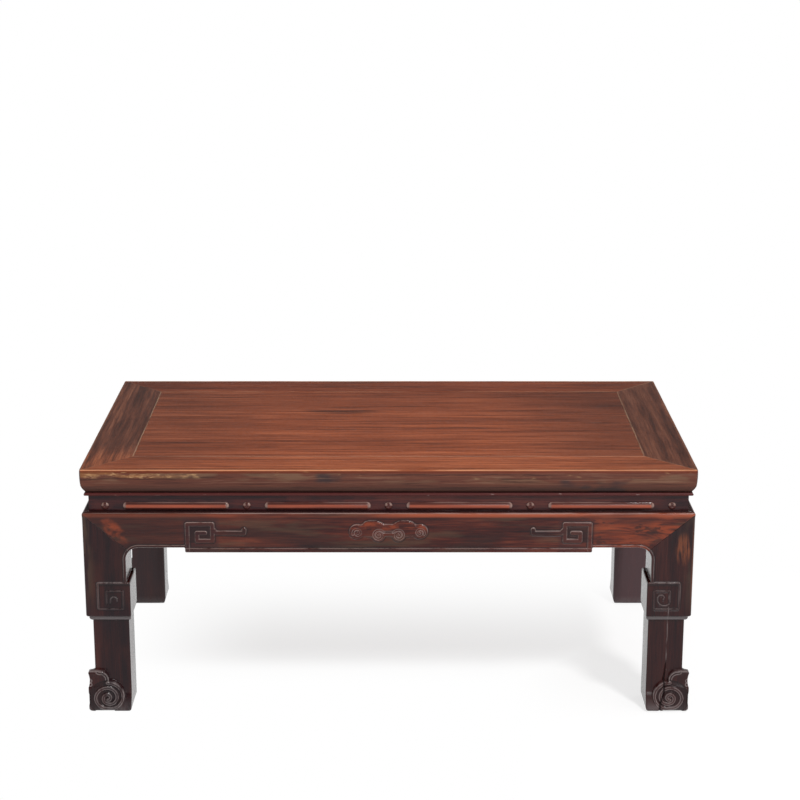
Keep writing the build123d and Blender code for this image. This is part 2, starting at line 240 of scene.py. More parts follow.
# Everything below is made as if it faced the front, and is turned to its side of the table.
sides = {  # turn, half the run, half the reach outward, whether it is a long side, and its own seed
    "front": (0, length / 2, depth / 2, True, 11),
    "back": (180, length / 2, depth / 2, True, 27),
    "left": (-90, depth / 2, length / 2, False, 43),
    "right": (90, depth / 2, length / 2, False, 59),
}
rail = {
    "width": 66.0,
    "thickness": 36.0,
    "arrisWidth": 1.0,
    "arrisHeight": 7.0,
    "kneeInset": 1.3,
    "kneeDrop": 13.5,
    "beadHeight": 4.6,
    "beadInset": 5.0,
    "beadHang": 2.5,  # below the frame, in front of the waist
    "groove": 1.1,
    "innerArris": 0.45,
    "cornerRound": 5.5,
    "wobble": 0.22,  # hand planing
    "nicks": 26,
    "frontNicks": 34,  # more, at the front rail's left end
    "chipDepth": 0.2,  # of those, which are paler
    "station": 2.8,
}
waist = {
    "inset": 10.5,
    "back": 23.7,
    "bossFromCorner": 22.5,
    "bossDiameter": 10.6,
    "bossRelief": 3.0,
    "bossDimple": 1.5,
    "barHeight": 11.6,
    "barRelief": 2.9,
    "barFromBoss": 24.4,
    "barLevel": 7.1,
    "barsLong": 4,
    "barsShort": 2,
    "station": 4.0,
}
apron = {
    "faceInset": 1.7,
    "thickness": 22.0,
    "top": 294.0,
    "endBottom": 243.5,
    "drop": 7.0,
    "dropFromLegLong": 82.0,
    "dropFromLegShort": 46.0,
    "dropRound": 2.0,
    "arris": 3.0,
    "bottomArris": 0.8,
    "archRadius": 18.0,
    "shoulderFall": 3.2,
    "fine": 0.6,  # spacing of the carved parts
    "coarse": 4.0,
    "dropWindow": 14.0,  # the part that is spaced finely on each side of the drop's end
}
carving = {  # places are across from the middle and up from the floor, as on the long side
    "bandWidth": 5.7,
    "rise": 1.0,
    "shoulder": 1.1,
    "ground": 0.35,  # how far the ground is cut down beside a band
    "edgeBead": 3.7,
    "dropHalf": 278.6,
    "fret": [(275.1, 240), (275.1, 277.4), (240.8, 277.4), (240.8, 253.4)]
    + [(261.9, 253.4), (261.9, 264.8), (251, 264.8)],
    "branch": [(240.8, 270.5), (235.5, 264.8)],  # and on to the tail, which turns up at its end
    "tailLong": 198.0,
    "tailShort": 216.0,
    "tailLevel": 264.6,
    "tailTip": 269.4,
    "fretGround": (243.5, 272.5, 250.5, 274.6),  # darkened between the windings, painted shade as well as dirt: across, then up
    "fretSmoke": (229, 236, 279, 284),  # darker wood round the fret fades in and out between these
    "bottomBand": (5.9, 5.1),  # its middle below the end's bottom, and half its width
    "cloudRise": 1.35,
    "cloudHalf": 58.0,
    "cloudLobes": (  # from, to, radius and how softly each joins the ones before
        ((17.5, 270.8), (26.0, 270.8), 11.0, 0),
        ((0, 268.6), (17.5, 268.6), 8.0, 5.0),
        ((26.0, 269.4), (43.2, 267.6), 7.6, 3.0),
        ((43.4, 267.0), (43.4, 267.0), 10.2, 1.5),
        ((13.8, 261.6), (13.8, 261.6), 8.9, 0.8),
    ),
    "cloudCurls": (
        ((13.6, 261.8), (8.0, 7.4, 6.2, 5.2, 4.2, 3.2, 2.4, 1.8), 1, 150),
        ((42.8, 265.2), (6.2, 5.6, 4.6, 3.6, 2.6, 2.0), -1, 200),
    ),
    "cloudVein": [(0, 266.4), (6.4, 266.4)],
}
leg = {
    "width": 57.7,
    "blockTop": 192.5,
    "blockBottom": 142.0,
    "blockStep": 4.5,
    "blockRound": 3.0,
    "innerRound": 1.5,
    "hollowHeight": 7.0,
    "hollowLip": 4.0,
    "hollowSagitta": 2.0,
    "shaftOuter": 8.0,
    "shaftInner": 58.0,
    "arris": 2.2,
    "footRound": 6.0,
    "fret": [(61.5, 191.6), (17.4, 191.6), (17.4, 153.6), (52.2, 153.6), (52.2, 180.0)],
    "toCurl": [(30.5, 180.0), (30.5, 164.0)],
    "curl": [(31.4, 161.0), (35.0, 158.6), (40.0, 158.4), (44.6, 160.6), (47.4, 165.0)]
    + [(47.4, 170.2), (45.2, 173.6), (41.0, 174.2), (38.4, 171.0), (39.4, 167.4)],
    "toHook": [(29.3, 180.0), (29.3, 162.5)],
    "hook": [(34.4, 163.0), (34.8, 168.0), (37.0, 171.2), (40.2, 171.4), (43.4, 168.8), (43.6, 165.4)],
    "split": 31.5,  # across from the right front leg's corner
    "columns": 92,
    "fine": 0.6,
}
foot = {
    "height": 60.5,
    "projection": 1.2,
    "round": 5.5,
    "cheek": 36.0,
    "cheekHollow": 1.8,
    "tip": 58.6,
    "tipWidth": 2.5,
    "leafWidth": 15.5,
    "sideLeafWidth": 3.0,
    "leafBulge": 5.2,
    "notch": (28.2, 44.6),
    "scrollFar": (49.6, 22.5),
    "scrollFoot": (36.0, 3.4),
    "scrollReach": 27.0,
    "slope": 4.5,
    "wall": 1.1,
    "flare": (3.0, 30.0),  # the shaft comes forward to the foot's face between these levels
    "spiralMiddle": (26.6, 19.8),
    "spiralRadii": (23.3, 21.2, 14.6, 17.2, 15.6, 12.8, 7.8, 6.4, 5.8, 3.6, 2.0),  # at each quarter turn
    "ridge": 2.2,
    "groove": 1.7,
    "curls": ((1.6, 46.2, 2.3), (1.9, 40.9, 2.1)),  # across, up and radius, cut by the corner
}
frameBottom = height - rail["thickness"]
dropBottom = apron["endBottom"] - apron["drop"]
springing = apron["endBottom"] - apron["archRadius"]
archMiddle = leg["width"] + apron["archRadius"]
shoulderTop = apron["top"] - apron["shoulderFall"]
mitreFoot = (archMiddle - apron["archRadius"] / math.sqrt(2), springing + apron["archRadius"] / math.sqrt(2))
farAway = 99.0  # a distance that no carving reaches


def wander(places, pitch, seed):
    # smooth random values between -1 and 1 along a line
    draws = np.random.RandomState(seed).uniform(-1, 1, 4096)
    spots = np.asarray(places) / pitch + 2048.0
    whole = np.floor(spots).astype(int)
    part = spots - whole
    part = part * part * (3 - 2 * part)
    return draws[whole % 4096] * (1 - part) + draws[(whole + 1) % 4096] * part


def smooth(value, low, high):
    part = np.clip((value - low) / (high - low), 0, 1)
    return part * part * (3 - 2 * part)


def bell(value, middle, width):
    return np.exp(-(((value - middle) / width) ** 2))


def bearing(way):
    return math.atan2(way[1], way[0])


def sideOf(way):
    # the unit step to the left of a way
    return np.array([-way[1], way[0]]) / np.hypot(*way)


def arcPoints(middle, radius, start, end, steps):
    # points of an arc, its angles in degrees
    turns = np.radians(np.linspace(start, end, steps + 1))
    return np.column_stack([middle[0] + radius * np.cos(turns), middle[1] + radius * np.sin(turns)])


def tangentArc(start, heading, end, steps):
    # an arc that leaves start along heading and passes through end, and its heading there
    start, heading, end = (np.asarray(value, dtype=float) for value in (start, heading, end))
    side = sideOf(heading)
    chord = end - start
    radius = chord @ chord / (2 * chord @ side)
    middle = start + radius * side
    first = bearing(start - middle)
    swept = bearing(end - middle) - first
    swept = swept % (2 * math.pi) if radius > 0 else -(-swept % (2 * math.pi))
    points = arcPoints(middle, abs(radius), math.degrees(first), math.degrees(first + swept), steps)
    return points, sideOf((end - middle) / radius)


def bowedLine(start, end, sagitta, steps):
    # a shallow arc between two points, that bulges to the left of its way
    start, end = np.asarray(start, dtype=float), np.asarray(end, dtype=float)
    chord = end - start
    half = np.hypot(*chord) / 2
    radius = (half**2 + sagitta**2) / (2 * abs(sagitta))
    spots = np.linspace(-1, 1, steps + 1)
    rise = np.sqrt(radius**2 - (spots * half) ** 2) - (radius - abs(sagitta))
    return start + np.outer((spots + 1) / 2, chord) + np.outer(rise * np.sign(sagitta), sideOf(chord))


def roundPath(points, radius, steps=4):
    # an open path with its corners rounded
    points = [np.asarray(point, dtype=float) for point in points]
    path = [points[0]]
    for before, corner, after in zip(points, points[1:], points[2:]):
        back, ahead = ((end - corner) / np.hypot(*(end - corner)) for end in (before, after))
        reach = radius / math.tan(math.acos(np.clip(back @ ahead, -1, 1)) / 2)
        for part in np.linspace(0, 1, steps + 1):
            path.append(corner + reach * ((1 - part) ** 2 * back + part**2 * ahead))
    path.append(points[-1])
    return path


def pathDistance(path, across, up, reach=12.0):
    # how far each place is from a path, worked out within reach of it
    path = np.asarray(path)
    low, high = path.min(0) - reach, path.max(0) + reach
    near = (across > low[0]) & (across < high[0]) & (up > low[1]) & (up < high[1])
    placeX, placeZ = across[near], up[near]
    best = np.full(placeX.shape, reach)
    for (startX, startZ), (endX, endZ) in zip(path[:-1], path[1:]):
        runX, runZ = endX - startX, endZ - startZ
        part = ((placeX - startX) * runX + (placeZ - startZ) * runZ) / (runX**2 + runZ**2 + 1e-9)
        part = np.clip(part, 0, 1)
        best = np.minimum(best, np.hypot(placeX - startX - part * runX, placeZ - startZ - part * runZ))
    distance = np.full(across.shape, reach)
    distance[near] = best
    return distance


def insideOutline(outline, across, up):
    # whether each place is inside a closed outline
    inside = np.zeros(across.shape, dtype=bool)
    for (startX, startZ), (endX, endZ) in zip(outline, np.roll(outline, -1, axis=0)):
        if startZ != endZ:
            crosses = (up < startZ) != (up < endZ)
            inside ^= crosses & (across < startX + (up - startZ) * (endX - startX) / (endZ - startZ))
    return inside


def edgeRound(distance, radius):
    # how far a face falls back next to its edge, so that the edge is rounded
    short = np.clip(radius - distance, 0, radius)
    return radius - np.sqrt(radius**2 - short**2)


def sweptMesh(name, loops, material, fields=None, turn=0, mirrorX=False, mirrorY=False):
    # a closed skin through closed loops of points, with flat ends
    count, around = loops.shape[:2]
    spin = math.radians(turn)
    flip = np.array([-1 if mirrorX else 1, -1 if mirrorY else 1, 1])
    turned = np.array([[math.cos(spin), math.sin(spin), 0], [-math.sin(spin), math.cos(spin), 0], [0, 0, 1]])
    points = (loops.reshape(-1, 3) * flip) @ turned
    one = np.arange((count - 1) * around)
    right = one - one % around + (one + 1) % around
    quads = np.column_stack([one, right, right + around, one + around]).tolist()
    ends = [list(range(around))[::-1], list(range((count - 1) * around, count * around))]
    mesh = bpy.data.meshes.new(name)
    mesh.from_pydata((points * mm).tolist(), [], quads + ends)
    for field, values in (fields or {}).items():
        layer = mesh.attributes.new(field, "FLOAT", "POINT")
        layer.data.foreach_set("value", np.clip(values, 0, 1).astype(np.float32).ravel())
    shape = bmesh.new()
    shape.from_mesh(mesh)
    bmesh.ops.remove_doubles(shape, verts=shape.verts, dist=0.002 * mm)
    bmesh.ops.recalc_face_normals(shape, faces=shape.faces)
    shape.to_mesh(mesh)
    shape.free()
    mesh.shade_smooth()
    mesh.materials.append(material)
    piece = bpy.data.objects.new(name, mesh)
    bpy.context.scene.collection.objects.link(piece)
    return piece


def settle(piece, node):
    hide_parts(node)
    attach(piece, "root")


def settleSides(build, pieceName, nodeName):
    for side, measures in sides.items():
        settle(build(pieceName + side, *measures), nodeName + side)


woods = {  # shades from dark to pale, how strong each figure is, and how fine its streaks are
    "panel": {
        "shades": ((0.104, 0.024, 0.010), (0.250, 0.058, 0.021), (0.385, 0.094, 0.034), (0.540, 0.155, 0.062)),
        "grain": "X", "shift": (0.31, 0.12, 0.0), "broad": 0.35, "bands": (46, 16, 0.28),
        "streaks": (150, 30, 0.9), "threads": 0.8, "rings": 0.4, "polish": 0.36,
    },
    "railLong": {
        "shades": ((0.124, 0.032, 0.012), (0.288, 0.070, 0.026), (0.452, 0.120, 0.045), (0.655, 0.213, 0.091)),
        "grain": "X", "shift": (0.0, 0.4, 0.3), "broad": 0.3, "bands": (46, 16, 0.25),
        "streaks": (160, 34, 0.8), "threads": 0.7, "rings": 0.3, "polish": 0.36,
    },
    "railShort": {
        "shades": ((0.046, 0.017, 0.012), (0.116, 0.040, 0.025), (0.200, 0.070, 0.040), (0.300, 0.125, 0.072)),
        "grain": "Y", "shift": (0.7, 0.0, 0.1), "broad": 0.5, "bands": (60, 10, 0.4),
        "streaks": (240, 22, 0.8), "threads": 0.5, "rings": 0.5, "polish": 0.38,
    },
    "waist": {
        "shades": ((0.010, 0.003, 0.006), (0.025, 0.006, 0.008), (0.050, 0.010, 0.010), (0.100, 0.022, 0.016)),
        "grain": "X", "shift": (0.2, 0.9, 0.5), "broad": 0.9, "bands": (46, 5, 0.6),
        "streaks": (380, 20, 0.6), "threads": 0.3, "rings": 0.3, "polish": 0.16,
    },
    "apron": {
        "shades": ((0.016, 0.003, 0.004), (0.050, 0.008, 0.006), (0.098, 0.018, 0.010), (0.165, 0.040, 0.020)),
        "grain": "X", "shift": (0.5, 0.2, 0.8), "broad": 1.0, "bands": (40, 5, 0.7),
        "streaks": (380, 26, 0.7), "threads": 0.4, "rings": 0.5, "polish": 0.16,
    },
    "leg": {
        "shades": ((0.010, 0.003, 0.005), (0.023, 0.005, 0.006), (0.042, 0.009, 0.008), (0.072, 0.018, 0.013)),
        "grain": "Z", "shift": (0.1, 0.6, 0.2), "broad": 1.1, "bands": (34, 5, 0.5),
        "streaks": (420, 24, 0.45), "threads": 0.35, "rings": 0.4, "polish": 0.14,
    },
    "inside": {
        "shades": ((0.045, 0.022, 0.014), (0.085, 0.042, 0.026), (0.125, 0.066, 0.040), (0.170, 0.095, 0.060)),
        "grain": "Y", "shift": (0.9, 0.3, 0.6), "broad": 0.4, "bands": (46, 16, 0.5),
        "streaks": (190, 22, 0.8), "threads": 0.3, "rings": 0.6, "polish": 0.62,
    },
}
wear = {  # shades that years of use have left, and painted light and shade: highlights, glints, reflections, and shade in hollows, grooves and under the bars
    "rubbed": (0.36, 0.260, 0.235),
    "rubbedGrey": (0.29, 0.240, 0.235),
    "hollow": (0.006, 0.003, 0.004),
    "joint": (0.62, 0.40, 0.26),
    "scratch": (0.62, 0.44, 0.34),
    "knot": (0.065, 0.018, 0.010),
    "edge": (0.72, 0.34, 0.18),
    "underEdge": (0.125, 0.022, 0.008),
    "moulding": (0.088, 0.034, 0.026),
    "mouldingOlive": (0.185, 0.110, 0.066),
    "mouldingBlack": (0.024, 0.023, 0.027),
    "mouldingDark": (0.028, 0.011, 0.010),
    "mouldingPale": (0.24, 0.125, 0.080),
    "mouldingFoot": (0.030, 0.017, 0.014),
    "scuff": (0.64, 0.38, 0.18),
    "ochre": (0.30, 0.125, 0.045),
    "groove": (0.012, 0.006, 0.007),
    "bead": (0.085, 0.018, 0.017),
    "waistRed": (0.095, 0.018, 0.014),
    "barSide": (0.075, 0.018, 0.013),
    "crest": (0.34, 0.068, 0.030),
    "glint": (0.42, 0.28, 0.24),
    "smoke": (0.022, 0.011, 0.010),
    "flame": (0.28, 0.050, 0.016),
    "flameKnot": (0.030, 0.010, 0.008),
    "topLine": (0.33, 0.072, 0.030),
    "ledge": (0.030, 0.012, 0.012),
    "leftEnd": (0.026, 0.009, 0.008),
    "fretGround": (0.036, 0.010, 0.012),
    "olive": (0.085, 0.050, 0.030),
    "legRed": (0.062, 0.014, 0.009),
    "legBlack": (0.014, 0.007, 0.012),
    "backLeg": (0.115, 0.064, 0.070),
    "char": (0.014, 0.012, 0.011),
    "ember": (0.22, 0.062, 0.024),
    "dust": (0.150, 0.130, 0.132),
}


class Wood(Board):
    # a board of solid wood: its grain, and then what its makers and users did to it, and painted light and shade
    def __init__(self, name, kind, grain=None):
        self.look = woods[kind]
        self.material = newMaterial(name)
        super().__init__(self.material.node_tree)
        self.grain = grain or self.look["grain"]
        self.place = self.node("ShaderNodeTexCoord", output="Object")
        self.x, self.y, self.z = (self.part(self.place, axis) * (1 / mm) for axis in range(3))
        self.colour, self.rough, self.relief = self.figureWood()

    def along(self, across, stretch):
        # places scaled to the grain: the higher the numbers, the finer the pattern
        scale = [across / stretch if axis == self.grain else across for axis in "XYZ"]
        return self.node("ShaderNodeMapping", inputs={0: self.place, 1: self.look["shift"], 3: scale})

    def cloud(self, across, stretch, detail=2.0, rough=0.5, bend=0.0):
        inputs = {0: self.along(across, stretch), 2: 1.0, 3: detail, 4: rough, 8: bend}
        return self.node("ShaderNodeTexNoise", inputs=inputs)

    def patches(self, across, stretch, low, high, detail=3.0, rough=0.6):
        # where a cloud is thick
        return self.step(self.cloud(across, stretch, detail, rough), low, high)

    def zone(self, value, low, high, soft):
        # 1 between two values, and fading to 0 within soft of them
        return self.step(value, low - soft, low + soft) * self.step(value, high - soft, high + soft, 1.0, 0.0)

    def blot(self, across, up, near, far):
        # 1 in the middle of a round place, and fading to 0 outward
        return self.step(across * across + up * up, near, far, 1.0, 0.0)

    def figureWood(self):
        look = self.look
        broad = self.cloud(9, 3, 2, 0.5)
        bands = self.cloud(*look["bands"][:2], 3, 0.55, 0.4)
        streaks = self.cloud(*look["streaks"][:2], 4, 0.62)
        threads = self.cloud(520, 36, 3, 0.65)
        fibres = self.cloud(900, 30, 2, 0.6)
        pores = self.cloud(2400, 26, 1, 0.5)
        rings = self.node(
            "ShaderNodeTexWave",
            {"wave_type": "RINGS", "rings_direction": self.grain, "wave_profile": "SIN"},
            {0: self.along(9, 9), 1: 1.6, 2: 3.2, 3: 2.0, 4: 1.4, 5: 0.55},
            output=1,
        )
        amounts = (look["broad"], look["bands"][2], look["streaks"][2], look["threads"], 0.5, 0.28 * look["rings"])
        tone = 0.5
        for layer, amount in zip((broad, bands, streaks, threads, fibres, rings), amounts):
            tone = (layer - 0.5) * (1.5 * amount) + tone
        tone = self.node("ShaderNodeClamp", inputs={0: tone})
        stops = tuple(zip((0.06, 0.38, 0.66, 0.97), look["shades"]))
        colour = self.node("ShaderNodeValToRGB", {"stops": stops}, {0: tone})
        pit = self.step(pores, 0.60, 0.70)
        colour = self.blend(pit * 0.5, colour, look["shades"][0])
        rough = look["polish"] + (fibres - 0.5) * 0.16 + pit * 0.14 + (bands - 0.5) * 0.10
        relief = fibres * 0.5 + streaks * 0.4 - pit * 0.8
        return colour, rough, relief

    def field(self, name):
        return self.node("ShaderNodeAttribute", {"attribute_name": name}, output="Fac")

    def tint(self, mask, shade, way="MIX"):
        self.colour = self.blend(mask, self.colour, wear.get(shade, shade), way)

    def dim(self, mask, shade):
        self.tint(mask, shade, "MULTIPLY")

    def finish(self, bump=0.12, bend=1.27):
        inputs = {"Strength": bump, "Distance": 0.0006, "Height": self.relief}
        normal = self.node("ShaderNodeBump", inputs=inputs)
        rough = self.node("ShaderNodeClamp", inputs={0: self.rough, 1: 0.12, 2: 0.9})
        inputs = {"Base Color": self.colour, "Roughness": rough, "Normal": normal, "IOR": bend}
        self.node("ShaderNodeOutputMaterial", inputs={0: self.node("ShaderNodeBsdfPrincipled", inputs=inputs)})
        return self.material


def panelWood():
    wood = Wood("panelWood", "panel")
    wide = wood.x.size()
    wood.dim(wood.step(wide, 110, 340) * 0.75, (0.66, 0.70, 0.80))
    wood.dim(wood.step(wood.x, 100, 330) * 0.5, (0.76, 0.78, 0.86))
    wood.dim(wood.step(wood.y, -60, 170) * 0.55, (0.62, 0.58, 0.58))
    knot = wood.blot((wood.x + 70) / 62, (wood.y - 62) / 20, 0.2, 1.3)
    wood.tint(knot * wood.patches(120, 20, 0.44, 0.6) * 0.75, "knot")
    endEdge, sideEdge = (size / 2 - rail["width"] for size in (length, depth))
    edge = wood.step(wide, endEdge - 1.0, endEdge - 0.4)
    edge = edge.atLeast(wood.step(wood.y.size(), sideEdge - 1.2, sideEdge - 0.6))
    # pale lines round the panel: dust in the joints, with a painted highlight on the arrises beside them
    wood.tint(edge * wood.patches(60, 4, 0.36, 0.6) * 0.45, "joint")
    scratch = wood.patches(300, 40, 0.70, 0.76) * wood.patches(14, 1, 0.5, 0.62)
    wood.tint(scratch * 0.35, "scratch")
    wood.rough = wood.rough + scratch * 0.1
    return wood.finish(bend=1.25)


def railWood(kind):
    # the frame's rails: polished above, with a painted highlight on the front arris; weathered on the moulding;
    # painted shade in the groove; red on the bead
    wood = Wood(kind + "Wood", kind)
    isLong = kind == "railLong"
    reach, run = [axis.size() for axis in ((wood.y, wood.x) if isLong else (wood.x, wood.y))]
    out = (depth if isLong else length) / 2
    level = wood.z
    upper = wood.step(level, height - 0.6, height - 0.2)
    lower = wood.step(level, height - 2.2, height - 1.2, 1.0, 0.0)
    if isLong:
        wood.dim(wood.step(wood.y, -120, 120) * upper, (0.66, 0.56, 0.54))
        wood.dim(wood.step(run, 200, 390) * upper * 0.6, (0.64, 0.66, 0.74))
    else:
        sunned = wood.step(wood.y, -110, -215) * wood.step(wood.x, 100, -100)
        wood.dim(sunned * upper, (1.85, 1.55, 1.15))
        wood.dim(wood.step(wood.x, 0, 100) * upper, (0.84, 0.82, 0.82))
    wood.tint(lower * 0.88, "moulding")
    olive = wood.patches(40, 4, 0.50, 0.62) * wood.step(level, height - 23, height - 12)
    wood.tint(lower * olive * 0.55, "mouldingOlive")
    wood.tint(lower * wood.patches(22, 2.5, 0.56, 0.66) * 0.75, "mouldingBlack")
    fine = wood.cloud(320, 28, 5, 0.7)
    wood.tint(lower * wood.step(fine, 0.48, 0.34) * 0.7, "mouldingDark")
    high = wood.step(level, height - 27, height - 17)
    wood.tint(lower * wood.step(fine, 0.54, 0.68) * high * 0.5, "mouldingPale")
    wood.tint(wood.step(level, height - 19, height - 31.5) * 0.62, "mouldingFoot")
    wood.tint(wood.zone(level, height - 4.6, height - 1.4, 0.5) * 0.9, "underEdge")
    scuff = wood.field("worn") * wood.patches(600, 6, 0.44, 0.58) * 0.55
    if isLong:
        chipped = wood.step(wood.x, -250, -340) * wood.step(wood.y, 0, -60)
        speck = wood.patches(760, 5, 0.60, 0.68, 2) * wood.patches(90, 3, 0.40, 0.60)
        scuff = scuff.atLeast(chipped * wood.zone(level, height - 9.5, height - 5.5, 1.6) * speck)
        chipped = chipped * wood.zone(level, height - 11, height - 3, 2)
        wood.tint(chipped * wood.patches(120, 6, 0.40, 0.62) * 0.6, "ochre")
    wood.tint(scuff, "scuff")
    beadTop = frameBottom - rail["beadHang"] + rail["beadHeight"]
    # painted shade: the groove above the bead is darkened
    wood.tint(wood.zone(level, beadTop - 0.3, beadTop + rail["groove"] + 0.5, 0.4) * 0.85, "groove")
    bead = wood.step(level, beadTop + 0.2, beadTop - 0.4)
    wood.tint(bead * 0.9, "bead")
    wood.tint(bead * wood.patches(420, 5, 0.66, 0.72) * 0.6, "rubbed")
    # painted highlight: a pale orange line along the front rail's rounded top arris, with some worn polish; faint
    # on the short rails
    line = wood.zone(reach, out - 3.6, out + 9, 0.7) * wood.step(level, height - 1.3, height - 0.7)
    wood.tint(line * wood.patches(70, 8, 0.30, 0.52) * (0.62 if isLong else 0.12), "edge")
    # the rails' joint and mitre lines: dust, with a painted highlight on the arrises
    dash = wood.patches(60, 5, 0.34, 0.58)
    inner = out - rail["width"]
    wood.tint(upper * wood.step(reach, inner + 1.3, inner + 0.9) * dash * 0.45, "joint")
    mitre = ((out - reach) - (length / 2 + depth / 2 - out - run)).size()
    wood.tint(upper * wood.step(mitre, 0.9, 0.4) * dash * wood.step(wood.x, -420, 200, 0.25, 0.7), "joint")
    return wood.finish(bend=1.25)


def finishCarved(wood, worn="rubbed"):
    # worn pale along carved edges, with a painted highlight strongest on edges that face up; dark in the hollows
    # beside them, dirt with painted shade
    wood.tint(wood.field("hollow") * 0.8, "hollow")
    wood.tint(wood.field("rim") * wood.patches(160, 3, 0.26, 0.56) * 0.85, worn)
    wood.rough = wood.rough + wood.field("hollow") * 0.2
    return wood.finish(bump=0.07, bend=1.33)


def waistWood(grain):
    wood = Wood("waistWood" + grain, "waist", grain)
    proud = wood.field("proud")
    level, barHeight = apron["top"] + waist["barLevel"], waist["barHeight"]
    wood.tint(wood.patches(30, 2, 0.54, 0.68) * 0.45, "waistRed")
    if grain == "X":
        wood.dim(wood.step(wood.x, 0, 140) * 0.35, (0.55, 0.55, 0.62))
    wood.tint(wood.step(proud, 0.05, 0.4) * 0.6, "barSide")
    # painted highlight: the bars' crests are tinted bright orange, as if lit
    wood.tint(wood.step(proud, 0.84, 1.0) * wood.cloud(120, 12, 3, 0.6) * 1.8, "crest")
    # painted glints: a pale line along the bars' upper edges, and pale spots at the bars' ends and the bosses'
    # sides
    upperEdge = wood.step(wood.z, level + barHeight * 0.26, level + barHeight * 0.38)
    lip = wood.zone(proud, 0.12, 0.62, 0.12) * upperEdge
    wood.tint(lip * wood.patches(60, 4, 0.34, 0.6) * 0.3, "glint")
    wood.tint(wood.field("tip") * 0.7, "glint")
    # painted shadow: the waist darkens below the bars, down to the apron's ledge
    wood.tint(wood.step(wood.z, level - barHeight * 0.5, apron["top"]) * 0.8, "hollow")
    return finishCarved(wood)


def cornerFlame(wood):
    # a reddish patch over the joint at one end
    along, up = wood.x + (length / 2 - 45), wood.z - (apron["top"] - 26)
    near = wood.blot((along - up) / 40, (along + up) / 17, 0.15, 1.1)
    wood.tint(near * wood.patches(60, 1.5, 0.37, 0.62) * 0.7, "flame")


def apronWood(grain):
    wood = Wood("apronWood" + grain, "apron", grain)
    isLong = grain == "X"
    wide, level, top = (wood.x if isLong else wood.y), wood.z, apron["top"]
    wood.tint(wood.patches(30, 5, 0.48, 0.66) * 0.45, "smoke")
    wood.tint(wood.patches(60, 8, 0.50, 0.66) * 0.42, "olive")
    end = wood.step(wide, *((215, 300) if isLong else (60, 150)))
    grainy = wood.step(wood.cloud(60, 5, 4, 0.6, 1.5), 0.36, 0.60)
    wood.tint(end * grainy * wood.patches(16, 2, 0.34, 0.54) * 0.72, "flame")
    wood.tint(end * wood.patches(75, 2.5, 0.54, 0.63, 3, 0.7) * 0.8, "flameKnot")
    # painted highlight: an orange-red line on the apron's rounded top arris
    wood.tint(wood.zone(level, top - 6.5, top - 1.0, 2.2) * wood.patches(40, 8, 0.24, 0.58) * 0.95, "topLine")
    # painted shade: the narrow ledge under the waist is darkened
    wood.tint(wood.step(level, top - 0.9, top - 0.3) * 0.9, "ledge")
    # a pale line on the apron's top rounding: rubbed wear with a painted highlight
    wood.tint(wood.field("arris") * wood.patches(90, 8, 0.30, 0.55) * 0.6, "rubbed")
    if isLong:
        wood.tint(wood.step(wide, -200, -330) * 0.6, "leftEnd")
        cornerFlame(wood)
        # painted light: the upper part of the raised cloud is tinted orange, as if its domed face caught warm
        # light
        wood.tint(wood.field("raised") * wood.patches(170, 4, 0.42, 0.60) * 0.6, "flame")
        wood.tint(wood.field("smoked") * wood.step(level, 289, 282) * 0.55, "fretGround")
    return finishCarved(wood)


def legWood():
    wood = Wood("legWood", "leg")
    wood.tint(wood.patches(13, 2, 0.46, 0.64) * 0.5, "legRed")
    wood.tint(wood.patches(11, 3, 0.54, 0.68) * 0.6, "legBlack")
    cornerFlame(wood)
    outerX = wood.step(wood.x.size(), length / 2 - 20, length / 2 - 4)
    outerY = wood.step(wood.y.size(), depth / 2 - 20, depth / 2 - 4)
    strip = outerX * outerY * wood.step(wood.z, 130, 200)
    wood.tint(strip * wood.patches(60, 6, 0.40, 0.60) * 0.55, "olive")
    wood.dim(wood.step(wood.x, 0, 60) * 0.9, (0.74, 0.68, 0.76))
    # painted light: the back legs are lightened and greyed, as if catching more light and reflection, more on the
    # right
    wood.tint(wood.step(wood.y, 0, 60) * wood.step(wood.x, -60, 60, 0.25, 0.6), "backLeg")
    char = wood.zone(wood.x, length / 2 - 32, length / 2 - 18, 4) * wood.zone(wood.z, 232, 272, 9)
    wood.tint(char * wood.patches(80, 4, 0.38, 0.56) * 0.5, "char")
    ember = wood.blot((wood.x - (length / 2 - 16)) / 12, (wood.z - 241) / 25, 0.1, 1.2)
    ember = ember * wood.patches(230, 9, 0.40, 0.62)
    # the thin line down the right front leg's outer corner is a painted highlight; the patch beside it is orange
    # figure
    edge = wood.step(wood.x, length / 2 - 5, length / 2 - 3) * wood.step(wood.y, 8 - depth / 2, 4 - depth / 2)
    edge = edge * wood.zone(wood.z, 160, 270, 20)
    wood.tint((ember * 0.7).atLeast(edge * 0.30), "ember")
    # painted reflection: the cove under the block is made pale, as if it mirrored the floor
    cove = wood.zone(wood.z, leg["blockBottom"] - leg["hollowHeight"] + 1, leg["blockBottom"] - 0.3, 1.0)
    wood.tint(cove * 0.85, "dust")
    # paler and greyer toward the foot's bottom and on its flare: dust, with a painted reflection of the light
    wood.tint(wood.step(wood.z, 16, 3) * wood.patches(70, 2, 0.30, 0.60) * 0.4, "dust")
    wood.tint(wood.field("dusty") * wood.patches(90, 2, 0.25, 0.55) * 0.2, "dust")
    wood.rough = wood.rough + wood.field("dusty") * 0.4
    return finishCarved(wood, "rubbedGrey")


materials = {"panel": panelWood(), "leg": legWood()}
for kind in ("railLong", "railShort"):
    materials[kind] = railWood(kind)
for grain in "XY":
    materials["waist" + grain] = waistWood(grain)
    materials["apron" + grain] = apronWood(grain)
for grain in "YZ":
    materials["inside" + grain] = Wood("insideWood" + grain, "inside", grain).finish(bump=0.3)
print("woods ready:", len(materials))


